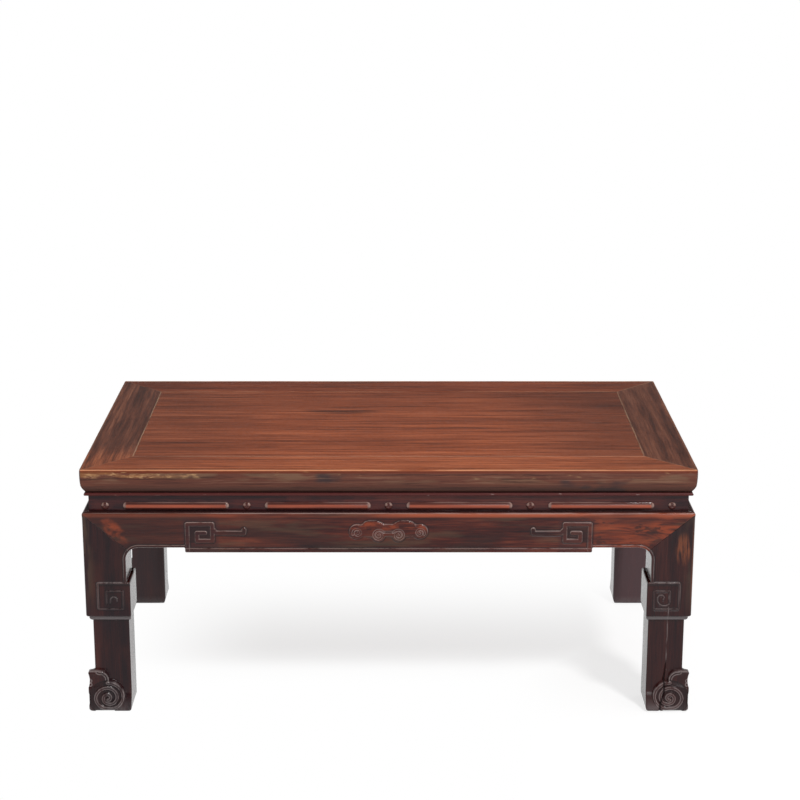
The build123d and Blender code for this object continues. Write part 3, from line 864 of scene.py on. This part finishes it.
def railProfile():
    # depth behind the widest line and level, from the top edge down and round
    topEdge = (rail["arrisWidth"], height)
    widest = (0.0, height - rail["arrisHeight"])
    knee = (rail["kneeInset"], height - rail["arrisHeight"] - rail["kneeDrop"])
    half = rail["beadHeight"] / 2
    beadMiddle = (rail["beadInset"] + half, frameBottom - rail["beadHang"] + half)
    throat = (beadMiddle[0] + 0.3, beadMiddle[1] + half + rail["groove"])
    arris = tangentArc(widest, (0, 1), topEdge, 8)[0][::-1]
    easy, heading = tangentArc(widest, (0, -1), knee, 5)
    tight = tangentArc(knee, heading, throat, 9)[0]
    bead = arcPoints(beadMiddle, half, 55, 270, 12)
    behind, inner, small = waist["inset"] - 0.3, rail["width"], rail["innerArris"]
    lip = [(behind, frameBottom - rail["beadHang"])]
    under = levelLine(np.linspace(behind, inner, 6), frameBottom)
    edge = arcPoints((inner - small, height - small), small, 0, 90, 3)
    top = levelLine(np.linspace(inner - small, topEdge[0], 22)[1:-1], height)
    return np.concatenate([arris, easy[1:], tight[1:], bead, lip, under, edge, top])


def levelLine(across, level):
    return np.column_stack([across, np.full(len(across), level)])


def roundCorner(along, deep, run, radius):
    # draws points near a mitred corner in onto its rounding
    sideways = radius - (run - np.abs(along))
    outward = radius - deep
    reach = np.hypot(sideways, outward)
    pull = np.where((sideways > 0) & (outward > 0), radius / np.maximum(reach, radius), 1.0)
    return np.sign(along) * (run - radius + sideways * pull), radius - outward * pull


def railNicks(name, run, seed):
    # along, down round the moulding, width and depth of each knock
    draws = np.random.RandomState(seed)
    spans = ((-run, run), (0, 13), (1.5, 4.5), (0.15, 0.6))
    nicks = [[draws.uniform(*span) for span in spans] for _ in range(rail["nicks"])]
    if name.endswith("front"):
        for _ in range(rail["frontNicks"]):
            along = 12 - run + 150 * draws.uniform() ** 1.4
            nicks.append([along, draws.normal(8.5, 1.6), draws.uniform(2, 8), rail["chipDepth"]])
    return nicks


def buildRail(name, turn, run, out, longSide, seed):
    profile = railProfile()
    deep, level = profile[:, 0], profile[:, 1]
    outward = np.roll(profile, -1, axis=0) - np.roll(profile, 1, axis=0)
    outward = np.column_stack([outward[:, 1], -outward[:, 0]]) / np.hypot(*outward.T)[:, None]
    moulded = smooth(deep, 9, 4) * (level > frameBottom)
    count = round(2 * run / rail["station"])
    corner = 1 - np.array([0, 0.6, 1.2, 1.9, 2.7, 3.6, 4.6, 5.7]) / run
    spots = np.concatenate([-corner, np.linspace(-corner[-1], corner[-1], count + 1)[1:-1], corner[::-1]])
    around = np.cumsum(np.hypot(*np.diff(profile, axis=0, prepend=profile[:1]).T))
    tucked = waist["inset"] * smooth(level, frameBottom + 12, frameBottom + 2) * (deep < waist["inset"])
    loops = np.zeros((len(spots), len(profile), 3))
    worn = np.zeros(loops.shape[:2])
    nicks = railNicks(name, run, seed)
    for place, spot in enumerate(spots):
        x = spot * (run - deep)
        sink = 0.5 + 0.25 * wander(x, 60, seed) + 0.25 * wander(x + 9 * around, 14, seed + 1)
        sink = sink * rail["wobble"] * moulded
        for nickX, nickAround, wide, deepNick in nicks:
            close = bell(x, nickX, wide) * bell(around, nickAround, 1.1) * moulded
            sink += close * deepNick
            worn[place] += close * (1.0 if deepNick == rail["chipDepth"] else 0.4)
        x, behind = roundCorner(x, deep, run, rail["cornerRound"] + tucked)
        loops[place] = np.column_stack([x, behind - out - outward[:, 0] * sink, level - outward[:, 1] * sink])
    piece = sweptMesh(name, loops, materials["railLong" if longSide else "railShort"], {"worn": worn}, turn)
    piece.data.set_sharp_from_angle(angle=math.radians(50))
    return piece


settleSides(buildRail, "moulded_rail_", "frame_rail_")
print("top frame made")

barSizes = ("barHeight", "barRelief", "bossDiameter", "bossRelief", "bossDimple")


def barsTree():
    # bars and bosses along a board, for boards of any run
    tree = bpy.data.node_groups.new("waistBars", "GeometryNodeTree")
    kinds = {"board": "Geometry", "bars": "Int", "material": "Material"}
    names = [*kinds, "firstBoss", "pitch", "barLength", "level", "ground", *barSizes]
    for name in names:
        tree.interface.new_socket(name, in_out="INPUT", socket_type="NodeSocket" + kinds.get(name, "Float"))
    tree.interface.new_socket("carved", in_out="OUTPUT", socket_type="NodeSocketGeometry")
    board = Board(tree)
    entry = board.node("NodeGroupInput").socket.node
    given = {name: Wire(board, entry.outputs[name]) for name in names}
    barHeight, bossDiameter = given["barHeight"], given["bossDiameter"]
    straight = (given["barLength"] - barHeight) * 0.5
    spot = board.node("GeometryNodeInputPosition")
    x, y, z = (board.part(spot, axis) for axis in range(3))

    def point(*places):
        return board.node("ShaderNodeCombineXYZ", inputs=dict(enumerate(places)))

    def ball(diameter, rings, turn):
        inputs = {"Segments": 20, "Rings": rings, "Radius": diameter * 0.5}
        shape = board.node("GeometryNodeMeshUVSphere", inputs=inputs)
        return board.node("GeometryNodeTransform", inputs={"Geometry": shape, "Rotation": turn})

    def moved(shape, sideways, flat, tip):
        inputs = {"Geometry": shape, "Offset": point(sideways, flat, 0.0)}
        return marked(board.node("GeometryNodeSetPosition", inputs=inputs), "tip", tip)

    def marked(shape, name, value):
        settings = {"data_type": "FLOAT", "domain": "POINT"}
        inputs = {"Geometry": shape, "Name": name, "Value": value}
        return board.node("GeometryNodeStoreNamedAttribute", settings, inputs)

    def joined(first, second):
        whole = board.node("GeometryNodeJoinGeometry", inputs={0: first})
        board.tree.links.new(second.socket, whole.socket.node.inputs[0])
        return whole

    # a bar is a ball drawn out along X and pressed flat
    eastward = board.node("ShaderNodeMath", {"operation": "SIGN"}, {0: x})
    farEnough = board.node("ShaderNodeMath", {"operation": "GREATER_THAN"}, {0: x.size(), 1: 0.00001})
    # tip marks the bar's rounded ends, where painted glints go
    tip = board.step(x.size() - straight, 0.0, barHeight * 0.42) * board.step(z, barHeight * -0.4, 0.0)
    flat = y * (given["barRelief"] / (barHeight * 0.5) - 1)
    bar = moved(ball(barHeight, 15, (0, math.pi / 2, 0)), eastward * farEnough * straight, flat, tip)

    # a boss is a ball pressed flat, with a dimple
    dip = given["bossDimple"] * board.step((x**2 + z**2) ** 0.5, 0.0, bossDiameter * 0.3, 1.0, 0.0)
    flat = y * (given["bossRelief"] / (bossDiameter * 0.5) - 1) + dip
    # tip marks the boss's upper sides, where painted glints go
    side = board.step(x.size(), bossDiameter * 0.10, bossDiameter * 0.30)
    tip = side * board.step(z, 0.0, bossDiameter * 0.2)
    boss = moved(ball(bossDiameter, 12, (math.pi / 2, 0, 0)), 0.0, flat, tip)

    rows = []
    for shape, ahead, more in ((bar, 0.5, 0), (boss, 0.0, 1)):
        start = point(given["firstBoss"] + given["pitch"] * ahead, given["ground"], given["level"])
        inputs = {"Count": given["bars"] + more, "Start Location": start, "Offset": point(given["pitch"], 0, 0)}
        line = board.node("GeometryNodeMeshLine", inputs=inputs)
        rows.append(board.node("GeometryNodeInstanceOnPoints", inputs={"Points": line, "Instance": shape}))
    real = board.node("GeometryNodeRealizeInstances", inputs={0: joined(*rows)})
    proud = marked(real, "proud", (given["ground"] - y) / given["barRelief"])
    whole = joined(board.node("GeometryNodeSetShadeSmooth", inputs={"Geometry": proud}), given["board"])
    finished = board.node("GeometryNodeSetMaterial", inputs={"Geometry": whole, "Material": given["material"]})
    board.node("NodeGroupOutput", inputs={0: finished})
    return tree


def grow(piece, tree, values):
    # does a node tree's work on the piece, and leaves it a plain mesh
    modifier = piece.modifiers.new(tree.name, "NODES")
    modifier.node_group = tree
    for socket in tree.interface.items_tree:
        if socket.name in values:
            modifier[socket.identifier] = values[socket.name]
    bpy.context.view_layer.update()
    made = piece.evaluated_get(bpy.context.evaluated_depsgraph_get())
    mesh = bpy.data.meshes.new_from_object(made)
    piece.modifiers.clear()
    piece.data = mesh


def buildWaist(name, turn, run, out, longSide, seed):
    ground, back, top = waist["inset"], waist["back"], apron["top"]
    face = [(ground, level) for level in np.linspace(frameBottom, top, 12)]
    profile = np.array(face + [(back, top), (back, frameBottom)])
    count = round(2 * run / waist["station"])
    loops = np.zeros((count + 1, len(profile), 3))
    for place, spot in enumerate(np.linspace(-1, 1, count + 1)):
        x = spot * (run - profile[:, 0])
        uneven = 0.12 * (wander(x + 40 * profile[:, 1], 23, seed + 5) + 1) * (profile[:, 0] == ground)
        loops[place] = np.column_stack([x, profile[:, 0] - out + uneven, profile[:, 1]])
    material = materials["waistX" if longSide else "waistY"]
    board = sweptMesh(name, loops, material)
    board.data.set_sharp_from_angle(angle=math.radians(40))
    bars = waist["barsLong" if longSide else "barsShort"]
    firstBoss = ground + waist["bossFromCorner"] - run
    pitch = -2 * firstBoss / bars
    sizes = {name: waist[name] for name in barSizes}
    sizes |= {"firstBoss": firstBoss, "pitch": pitch, "barLength": pitch - 2 * waist["barFromBoss"]}
    sizes |= {"level": top + waist["barLevel"], "ground": ground - out}
    values = {name: value * mm for name, value in sizes.items()}
    grow(board, waistTree, values | {"bars": bars, "material": material})
    board.data.transform(Matrix.Rotation(math.radians(turn), 4, "Z"))
    return board


waistTree = barsTree()
settleSides(buildWaist, "barred_waist_", "waist_")
print("waist made")


def spiralPath(middle, radii, hand=1, start=90.0, perTurn=24):
    # a spiral through the radii given at each quarter turn, clockwise from straight up
    turns = np.linspace(0, len(radii) - 1, (len(radii) - 1) * perTurn // 4 + 1)
    radius = np.interp(turns, range(len(radii)), radii)
    angle = np.radians(start - 90 * turns)
    return np.column_stack([middle[0] + hand * radius * np.cos(angle), middle[1] + radius * np.sin(angle)])


def newSurface(shape):
    # rim marks pale carved edges, wear with a painted highlight; hollow marks dark recesses, dirt with painted
    # shade
    return {field: np.zeros(shape) for field in ("rise", "cut", "rim", "hollow", "covered")}


def strengthen(surface, field, marks):
    surface[field] = np.maximum(surface[field], marks)


def addBand(surface, distance, half, rise, shoulder=carving["shoulder"], rimStrength=1.0):
    # a raised band on a carved face, with its pale rims (wear and a painted highlight) and the cut ground beside
    # it, darkened with painted shade and dirt
    strengthen(surface, "rise", rise * smooth(distance, half + 0.25, half - shoulder))
    beside = bell(distance, half + 0.9, 0.8) * (distance > half - 0.2)
    strengthen(surface, "cut", beside * carving["ground"])
    strengthen(surface, "hollow", beside * smooth(rise, 0.2, 0.8))
    strengthen(surface, "rim", bell(distance, half - 0.25, 0.42) * rimStrength)
    strengthen(surface, "covered", smooth(distance, half + 0.25, half - 0.3))


def topLight(shape, across, up, distance):
    # painted highlight: edges that face up, toward the lamps, are made the palest
    return 0.3 + 0.7 * smooth(shape(across, up + 0.4) - distance, -0.15, 0.35)


def addLine(surface, path, across, up, half, rise, shoulder, rimStrength):
    distance = pathDistance(path, across, up)
    light = topLight(lambda side, level: pathDistance(path, side, level), across, up, distance)
    addBand(surface, distance, half, rise, shoulder, rimStrength * light)


def addEdgeBead(surface, edge, where):
    # the bead under an apron's ends and down a leg's arch
    half = carving["edgeBead"] / 2
    addBand(surface, np.where(where, np.abs(edge - half), farAway), half, 0.7, 0.9, 0.7)


def settleSurface(surface):
    # bands hide the ground cut beside their neighbours
    surface["cut"] *= 1 - surface["covered"]
    surface["hollow"] *= 1 - surface["covered"]
    return surface["rise"] - surface["cut"]


def cloudDistance(across, up):
    # signed distance to a ruyi cloud, mirrored about its middle
    across = np.abs(across)
    whole = None
    for start, end, radius, soft in carving["cloudLobes"]:
        part = pathDistance([start, end], across, up, 80.0)
        part = (part if start == end else np.floor(part)) - radius  # the long lobes' edges are cut in steps
        if whole is None:
            whole = part
            continue
        mixed = np.clip(0.5 + (part - whole) / (2 * soft), 0, 1)
        whole = part * (1 - mixed) + whole * mixed - soft * mixed * (1 - mixed)
    return whole


def carveApron(x, z, dropEdge, tail, edge):
    surface = newSurface(x.shape)
    across = np.abs(x) + carving["dropHalf"] - dropEdge
    half, rise = carving["bandWidth"] / 2, carving["rise"]
    branch = carving["branch"] + [(tail, carving["tailLevel"]), (tail - 0.6, carving["tailTip"])]

    def fretDistance(side, level):
        fret = pathDistance(carving["fret"], side, level)
        return np.minimum(fret, pathDistance(branch, side, level) - half * 0.1)

    distance = fretDistance(across, z)
    addBand(surface, distance, half, rise, rimStrength=topLight(fretDistance, across, z, distance))
    left, right, low, high = carving["fretGround"]
    strengthen(surface, "hollow", 0.8 * ((across > left) & (across < right) & (z > low) & (z < high)))
    fadeIn, full, fadeOut, gone = carving["fretSmoke"]
    surface["smoked"] = smooth(across, fadeIn, full) * smooth(across, gone, fadeOut)
    inDrop = across < carving["dropHalf"]
    below, wide = carving["bottomBand"]
    bottomBand = np.where(inDrop, np.abs(z - apron["endBottom"] + below) - wide + half, farAway)
    addBand(surface, bottomBand, half, rise * 0.75, rimStrength=0.7)
    addEdgeBead(surface, edge, ~inDrop)
    cloud = cloudDistance(x, z)
    addBand(surface, cloud + half, half, carving["cloudRise"], 1.3, topLight(cloudDistance, x, z, cloud))
    surface["covered"] = np.where(cloud < 0, 0, surface["covered"])
    for curl in [spiralPath(*curl) for curl in carving["cloudCurls"]] + [carving["cloudVein"]]:
        # the incised curls are darkened with painted shade and dirt, their edges pale with wear and a painted
        # highlight
        distance = pathDistance(curl, np.abs(x), z)
        line = bell(distance, 0, 0.85) * (cloud < 0.5)
        surface["rise"] -= line * 0.85
        surface["hollow"] = np.maximum(surface["hollow"] * (cloud > 0.5), line)
        strengthen(surface, "rim", bell(distance, 1.3, 0.35) * (cloud < -0.3) * 0.7)
    # the cloud's upper part, which is painted as lit
    surface["raised"] = smooth(cloud, 0.5, -2.0) * smooth(z, 266, 273)
    return settleSurface(surface), surface


def apronBottom(faceRun, dropEdge, fretReach):
    # the apron's lower edge from the mitre to the middle, and where each station meets the top
    crown, end, low = archMiddle - faceRun, apron["endBottom"], dropBottom
    bend, fine, coarse = apron["dropRound"], apron["fine"], apron["coarse"]
    outer, inner = -dropEdge - apron["dropWindow"], -dropEdge + apron["dropWindow"]
    arch = arcPoints((crown, springing), apron["archRadius"], 135, 90, 20)
    plain = np.linspace(crown, outer, max(3, round((outer - crown) / coarse)))[1:-1]
    near = [
        levelLine(np.arange(outer, -dropEdge - bend, fine), end),
        arcPoints((-dropEdge - bend, end - bend), bend, 90, 0, 5),
        [(-dropEdge, (low + end) / 2)],
        arcPoints((-dropEdge + bend, low + bend), bend, 180, 270, 5),
        levelLine(np.arange(-dropEdge + bend + fine, inner, fine), low),
    ]
    near = np.concatenate(near)
    walked = np.cumsum(np.hypot(*np.diff(near, axis=0, prepend=near[:1]).T))
    nearTop = near[0, 0] + walked / walked[-1] * (near[-1, 0] - near[0, 0])
    fretEnd, cloudEnd = fretReach - dropEdge, -carving["cloudHalf"]
    carved = np.arange(near[-1, 0] + fine, min(fretEnd, cloudEnd), fine)
    rest = []
    if fretEnd < cloudEnd - 2:
        rest = np.linspace(carved[-1], cloudEnd, max(2, round((cloudEnd - carved[-1]) / coarse)))[1:]
    across = np.concatenate([carved, rest, np.arange(cloudEnd + fine, 0.001, fine)])
    bottom = np.concatenate([arch, levelLine(plain, end), near, levelLine(across, low)])
    top = np.concatenate([np.linspace(-faceRun, crown, len(arch)), plain, nearTop, across])
    if bottom[-1, 0] < -0.01:
        bottom = np.vstack([bottom, (0.0, low)])
        top = np.append(top, 0.0)
    else:
        bottom[-1, 0] = top[-1] = 0.0
    return np.vstack([bottom, bottom[-2::-1] * (-1, 1)]), np.concatenate([top, -top[-2::-1]])


def buildApron(name, turn, run, out, longSide, seed):
    faceRun = run - apron["faceInset"]
    kind = "Long" if longSide else "Short"
    dropEdge = faceRun - leg["width"] - apron["dropFromLeg" + kind]
    tail = carving["tail" + kind]
    bottom, top = apronBottom(faceRun, dropEdge, carving["dropHalf"] - tail + 6)

    # the face, from just above its lower edge to the top arris
    startX, startZ, topX = bottom[:, :1], bottom[:, 1:], top[:, None]
    close = np.concatenate([[0, 0.12, 0.4, 0.8], np.arange(1.3, 9.0, 0.55)])
    many = round((apron["top"] - dropBottom - 9) / (apron["fine"] + 0.1))
    span = np.hypot(topX - startX, shoulderTop - startZ)
    part = np.hstack([close / span, close[-1] / span + (1 - close[-1] / span) * np.linspace(0, 1, many)[1:]])
    x = startX + (topX - startX) * part
    z = startZ + (shoulderTop - startZ) * part
    across = faceRun - np.abs(x)
    arch = np.abs(np.hypot(across - archMiddle, z - springing) - apron["archRadius"])
    straight = z - np.where(np.abs(x) < dropEdge, dropBottom, apron["endBottom"])
    mound, surface = carveApron(x, z, dropEdge, tail, np.where(across < archMiddle, arch, straight))
    uneven = 0.12 * wander(x + 3.7 * z, 31, seed + 3) + 0.08 * wander(z * 5 + x * 0.2, 9, seed + 9)
    fromEdge = part * span
    sunk = edgeRound(fromEdge, apron["bottomArris"]) - mound * smooth(fromEdge, 0, 0.7)
    sunk = sunk + uneven * smooth(fromEdge, 0, 3) * 0.5
    face = apron["faceInset"] - out

    # then over the top arris, down the back and forward along the bottom
    bend, thick, high = apron["arris"], apron["thickness"], apron["top"]
    turns = np.radians(np.linspace(0, 90, 7))
    arris, behind = bend - bend * np.cos(turns), np.linspace(bend, thick, 6)[1:]
    deep = np.concatenate([arris, behind, np.full(5, thick), np.linspace(thick, 1.2, 4)[1:]])
    rise = np.concatenate([high - bend + bend * np.sin(turns), np.full(5, high)])
    down = high + (startZ - high) * np.linspace(0, 1, 6)[1:]
    levels = np.hstack([np.tile(rise, (len(top), 1)), down, np.repeat(startZ, 3, axis=1)])
    higher = np.clip((levels - startZ) / (shoulderTop - startZ), 0, 1)
    line = np.clip(startX + (topX - startX) * higher, deep - faceRun, faceRun - deep)
    inner = np.stack([line, np.broadcast_to(face + deep, line.shape), levels], axis=2)
    loops = np.concatenate([np.stack([x, face + sunk, z], axis=2), inner], axis=1)
    fields = {}
    for field in ("rim", "hollow", "raised", "smoked"):
        fields[field] = np.pad(surface[field], ((0, 0), (0, len(deep))))
    # the arris field marks where the top rounding gets its pale line, wear with a painted highlight
    fields["arris"] = np.zeros(loops.shape[:2])
    fields["arris"][:, x.shape[1] + 2 : x.shape[1] + 4] = 1
    return sweptMesh(name, loops, materials["apronX" if longSide else "apronY"], fields, turn)


settleSides(buildApron, "carved_apron_", "apron_")
print("aprons made")


def footInset(level):
    # how far the foot's sides stand behind their outermost plane at each level
    hollow = bowedLine((0, foot["cheek"]), (0, foot["tip"]), foot["cheekHollow"], 16)
    inset = edgeRound(level, foot["round"]) + np.interp(level, hollow[:, 1], -hollow[:, 0], left=0, right=0)
    return inset + np.clip((level - foot["tip"]) / (foot["height"] - foot["tip"]), 0, 1) * foot["tipWidth"]


def legRows():
    # level, outer plane and inner plane of the leg's section, from the floor to the shoulder's tip
    rows = []

    def add(level, outer, inner):
        rows.append(np.column_stack(np.broadcast_arrays(np.atleast_1d(level), outer, inner)))

    width, footTop, fine = leg["width"], foot["height"], leg["fine"]
    blockTop, blockBottom, sagitta = leg["blockTop"], leg["blockBottom"], leg["hollowSagitta"]
    outer, inner = leg["shaftOuter"], leg["shaftInner"]
    level = np.concatenate([[0, 0.15, 0.5], np.arange(1.0, footTop, fine), [footTop]])
    add(level, footInset(level) - foot["projection"], inner - edgeRound(level, leg["footRound"]))
    hollowFoot = blockBottom - leg["hollowHeight"]
    add(footTop + np.array([0.3, 1.2]), outer, inner)
    add(np.linspace(footTop + 4, hollowFoot - 0.6, 16), outer, inner)
    blockFace = width + leg["blockStep"]
    bend, small = leg["blockRound"], leg["innerRound"] / 2
    outerCurve = bowedLine((outer, hollowFoot), (leg["hollowLip"], blockBottom), sagitta, 9)
    innerCurve = bowedLine((inner, hollowFoot), (blockFace - leg["innerRound"], blockBottom), -sagitta, 9)
    add(outerCurve[:, 1], outerCurve[:, 0], innerCurve[:, 0])
    add(blockBottom, bend, blockFace - small)
    close = np.array([0.08, 0.3, 0.7, 1.2, 1.8, 2.4])
    level = np.concatenate([close, np.arange(3.0, 44.0, fine)])
    add(blockBottom + level, edgeRound(level, bend), blockFace - edgeRound(level, small))
    down = np.concatenate([[3.0], close[::-1], [0]])
    add(blockTop - down, 0, blockFace - edgeRound(down, bend))
    add(blockTop + np.concatenate([[0, 0.5], np.linspace(2, springing - blockTop, 14)]), 0, width)
    arch = arcPoints((0, springing), apron["archRadius"], 3, 45, 13)
    add(arch[:, 1], 0, archMiddle - arch[:, 0])
    part = np.linspace(0, 0.995, 44)[1:]
    add(mitreFoot[1] + (shoulderTop - mitreFoot[1]) * part, 0, mitreFoot[0] * (1 - part))
    return np.concatenate(rows)


def footOutline(leafWidth):
    # the leaf and the scroll together, across from the leg's outer face
    shift = foot["projection"]
    leafEnd = (leafWidth - shift, foot["height"])
    points = np.array([foot["notch"], foot["scrollFar"], foot["scrollFoot"]]) - (shift, 0)
    leaf = bowedLine(leafEnd, points[0], foot["leafBulge"], 10)
    middle = np.linalg.solve(2 * (points[1:] - points[0]), (points[1:] ** 2).sum(1) - (points[0] ** 2).sum())
    first, last = (math.degrees(bearing(point - middle)) for point in (points[0], points[2]))
    scroll = arcPoints(middle, np.hypot(*(points[0] - middle)), first, last, 30)
    above = foot["height"] + 0.4
    beyond = [(points[2, 0], -5), (-9, -5), (-9, above), (leafEnd[0], above)]
    return np.vstack([beyond, leaf, scroll]), leaf


def carveLeg(across, up, inner, curled):
    # one thin raised line that winds inward as a square fret and ends in a hook or a curl
    surface = newSurface(across.shape)
    line = roundPath(leg["fret"] + leg["toCurl" if curled else "toHook"], 1.6)
    addLine(surface, line, across, up, 0.9, 0.6, 0.8, 0.45)
    addLine(surface, line[:7], across, up, 1.15, 0.8, 0.9, 0.9)
    addLine(surface, leg["curl" if curled else "hook"], across, up, 0.75, 0.55, 0.7, 0.6)
    arch = np.hypot(across - archMiddle, up - springing) - apron["archRadius"]
    addEdgeBead(surface, np.where(up > springing, arch, inner - across), up > leg["blockTop"] + 0.2)
    return surface


def legFace(rows, curled, leafWidth, seed, split=0.0):
    # one face from the corner inward: across, how far it stands back, and its marks
    level, outer, inner = (rows[:, place][:, None] for place in range(3))
    spread = np.linspace(0, 1, leg["columns"] + 1)[None, :]
    bend = np.minimum(leg["arris"], (inner - outer) / 3)
    turns = np.radians(np.linspace(45, 90, 5))[None, :-1]
    faceX = outer + bend + (inner - outer - bend) * spread
    x = np.hstack([outer + bend * (1 - np.cos(turns)), faceX])
    y = np.hstack([outer + bend * (1 - np.sin(turns)), np.broadcast_to(outer, faceX.shape)])
    z = np.broadcast_to(level, x.shape)

    # the foot's relief fades into the shaft beyond its outline
    shaft, projection, ridge = leg["shaftOuter"], foot["projection"], foot["ridge"]
    outline, leaf = footOutline(leafWidth)
    inFoot = level <= foot["height"]
    distance = pathDistance(np.vstack([outline, outline[:1]]), x, z, 30.0)
    signed = np.where(insideOutline(outline, x, z), -distance, distance)
    forward = smooth(z, foot["flare"][1], foot["flare"][0])
    slope = np.clip((x - shaft) / (leg["shaftInner"] - shaft), 0, 1) * foot["slope"]
    plate = np.maximum(slope * (1 - forward) - projection, y)
    plate = plate + edgeRound(np.clip(-signed, 0, None), 0.9) * (z > 1)
    outside = smooth(signed, -0.1, foot["wall"])
    base = shaft - (shaft + projection - 0.15) * forward + edgeRound(z, 2.5)
    spiral = spiralPath(foot["spiralMiddle"], foot["spiralRadii"])
    wound = pathDistance(spiral, x + projection, z)
    fromMiddle = np.hypot(x + projection - foot["spiralMiddle"][0], z - foot["spiralMiddle"][1])
    inScroll = fromMiddle < foot["scrollReach"]
    grooved = smooth(wound, ridge - 0.4, ridge + 1.3) * inScroll * smooth(-signed, 0.4, 1.4)
    leafLine = pathDistance(leaf, x, z)
    inLeaf = (signed < -0.6) & ~inScroll
    leafGroove = bell(leafLine, 2.5, 0.8) * 0.7 * inLeaf
    rings = [np.abs(np.hypot(x - east, z - up) - radius) for east, up, radius in foot["curls"]]
    curl = np.where((x < 4.6) & (z > 37) & (z < 50), np.minimum(*rings), 9.0)
    plate = plate + foot["groove"] * grooved + leafGroove + bell(curl, 1.1, 0.5) * 0.4
    footFace = plate * (1 - outside) + np.maximum(base, y) * outside
    y = np.where(inFoot, np.maximum(footFace, y), y)

    surface = carveLeg(x, z, inner, curled)
    mound = settleSurface(surface) * smooth(inner - x, 0.0, 0.8) * smooth(x - outer, 0, 1.5) * ~inFoot
    fallBack = edgeRound(inner - x, 0.8) * (inner > outer + 2)
    uneven = 0.1 * (1 + wander(z + 7 * x, 27, seed))
    y = y - mound + fallBack + uneven * smooth(x - outer, 0, 6)
    crack = np.zeros(x.shape)
    if split:
        drift = split + 0.6 * wander(z, 14, 5) + 2 * smooth(z, 75, 45) + 5 * smooth(z, 32, 6)
        crack = bell(x, drift, 0.6 + 0.7 * smooth(z, 62, 40)) * smooth(z, -1, 1) * smooth(z, 196, 176)
        y = y + crack * (0.3 + 2.2 * smooth(z, 85, 60))
        # the crack's inside is darkened with painted shade and dirt; its edges are pale with wear and a painted
        # highlight
        strengthen(surface, "hollow", crack * smooth(z, 85, 62) * 1.3)
        strengthen(surface, "rim", crack * smooth(z, 66, 82) * smooth(wander(z, 9, 8), -0.5, 0.3) * 0.55)

    # pale rims on the foot's carving are wear with a painted highlight; its grooves are darkened with painted
    # shade and dirt
    footRim = bell(signed, -0.6, 0.65) * smooth(z, 2, 8) * 0.9
    ridgeRim = bell(wound, ridge - 0.6, 0.8) * inScroll * (signed < -0.5) * 0.55
    leafRim = bell(leafLine, 4.0, 0.5) * inLeaf * 0.9
    marks = np.maximum.reduce([footRim, ridgeRim, leafRim, bell(curl, 0, 0.5)])
    strengthen(surface, "rim", marks * (1 - crack) * inFoot)
    strengthen(surface, "hollow", np.maximum(grooved * 0.7, leafGroove) * inFoot)
    # a pale line down the leg's outer corner above the block: wear with a painted highlight
    strengthen(surface, "rim", bell(x, outer, 0.9) * (z > leg["blockBottom"]) * 0.28)
    # the flare round the foot, where dust and a painted sheen go
    surface["dusty"] = forward * smooth(signed, -0.5, 1.0) * inFoot
    return x, y, surface


def buildLeg(name, mirrorX, mirrorY, split):
    rows = legRows()
    level, inner = rows[:, :1], rows[:, 2:]
    width, neck = leg["width"], apron["thickness"]
    faces = [
        legFace(rows, mirrorX, foot["leafWidth"], len(name), split),
        legFace(rows, mirrorX, foot["sideLeafWidth"], len(name) + 4),
    ]

    # inward from each face's far edge: round the neck to the diagonal
    high = level > leg["blockTop"]
    body = np.where(high, np.maximum(inner, width), inner)
    narrow = high & (inner < width)
    web = np.minimum(neck, 18 + 4 * inner / neck)
    innerX = [inner, inner, np.where(narrow, np.maximum(inner, neck), inner), body, body, body]
    halves = []
    for x, y, surface in faces:
        edge = y[:, -1:]
        innerY = [np.minimum(edge + 1.2, web), np.minimum(edge + (neck - edge) * 0.5, web)]
        innerY += [np.where(narrow, web, neck), np.where(narrow, neck, neck + 4), neck + (body - neck) * 0.6, body]
        halves.append((np.hstack([x, *innerX]), np.hstack([y, *innerY])))
    (frontX, frontY), (sideX, sideY) = halves
    loopX = np.hstack([frontX, sideY[:, -2:0:-1]])
    loopY = np.hstack([frontY, sideX[:, -2:0:-1]])
    loops = np.stack([loopX, loopY, np.broadcast_to(level, loopX.shape)], axis=2)

    # the neck runs on up to the frame
    more = len(innerX)
    half = np.full((frontX.shape[1], 2), width)
    half[:-more, 0] = np.linspace(neck, width, len(half) - more)
    half[:-2, 1] = neck
    half[-2, 1] = neck + (width - neck) * 0.6
    around = np.concatenate([half, half[-2:0:-1, ::-1]])
    ends = [np.column_stack([around, np.full(len(around), end)]) for end in (shoulderTop, frameBottom)]
    loops = np.concatenate([loops, ends])
    loops[:, :, :2] += apron["faceInset"] - np.array([length, depth]) / 2

    fields = {}
    for field in ("rim", "hollow", "dusty"):
        front, side = (np.pad(surface[field], ((0, len(ends)), (0, more))) for x, y, surface in faces)
        fields[field] = np.hstack([front, side[:, -2:0:-1]])
    return sweptMesh(name, loops, materials["leg"], fields, 0, mirrorX, mirrorY)


corners = {  # whether it is mirrored along the table, and across it, and where it is split
    "front_left": (False, False, 0.0),
    "front_right": (True, False, leg["split"]),
    "back_left": (False, True, 0.0),
    "back_right": (True, True, 0.0),
}
for corner, measures in corners.items():
    settle(buildLeg("carved_leg_" + corner, *measures), "leg_" + corner)
print("legs made")

staying = {"top_panel": "panel", "batten_": "insideY", "key_": "insideZ"}  # joined as they are, in better wood
for name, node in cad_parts.items():
    for start, kind in staying.items():
        if name.startswith(start):
            for slot in node.material_slots:
                slot.material = materials[kind]
print("panel, battens and keys finished")
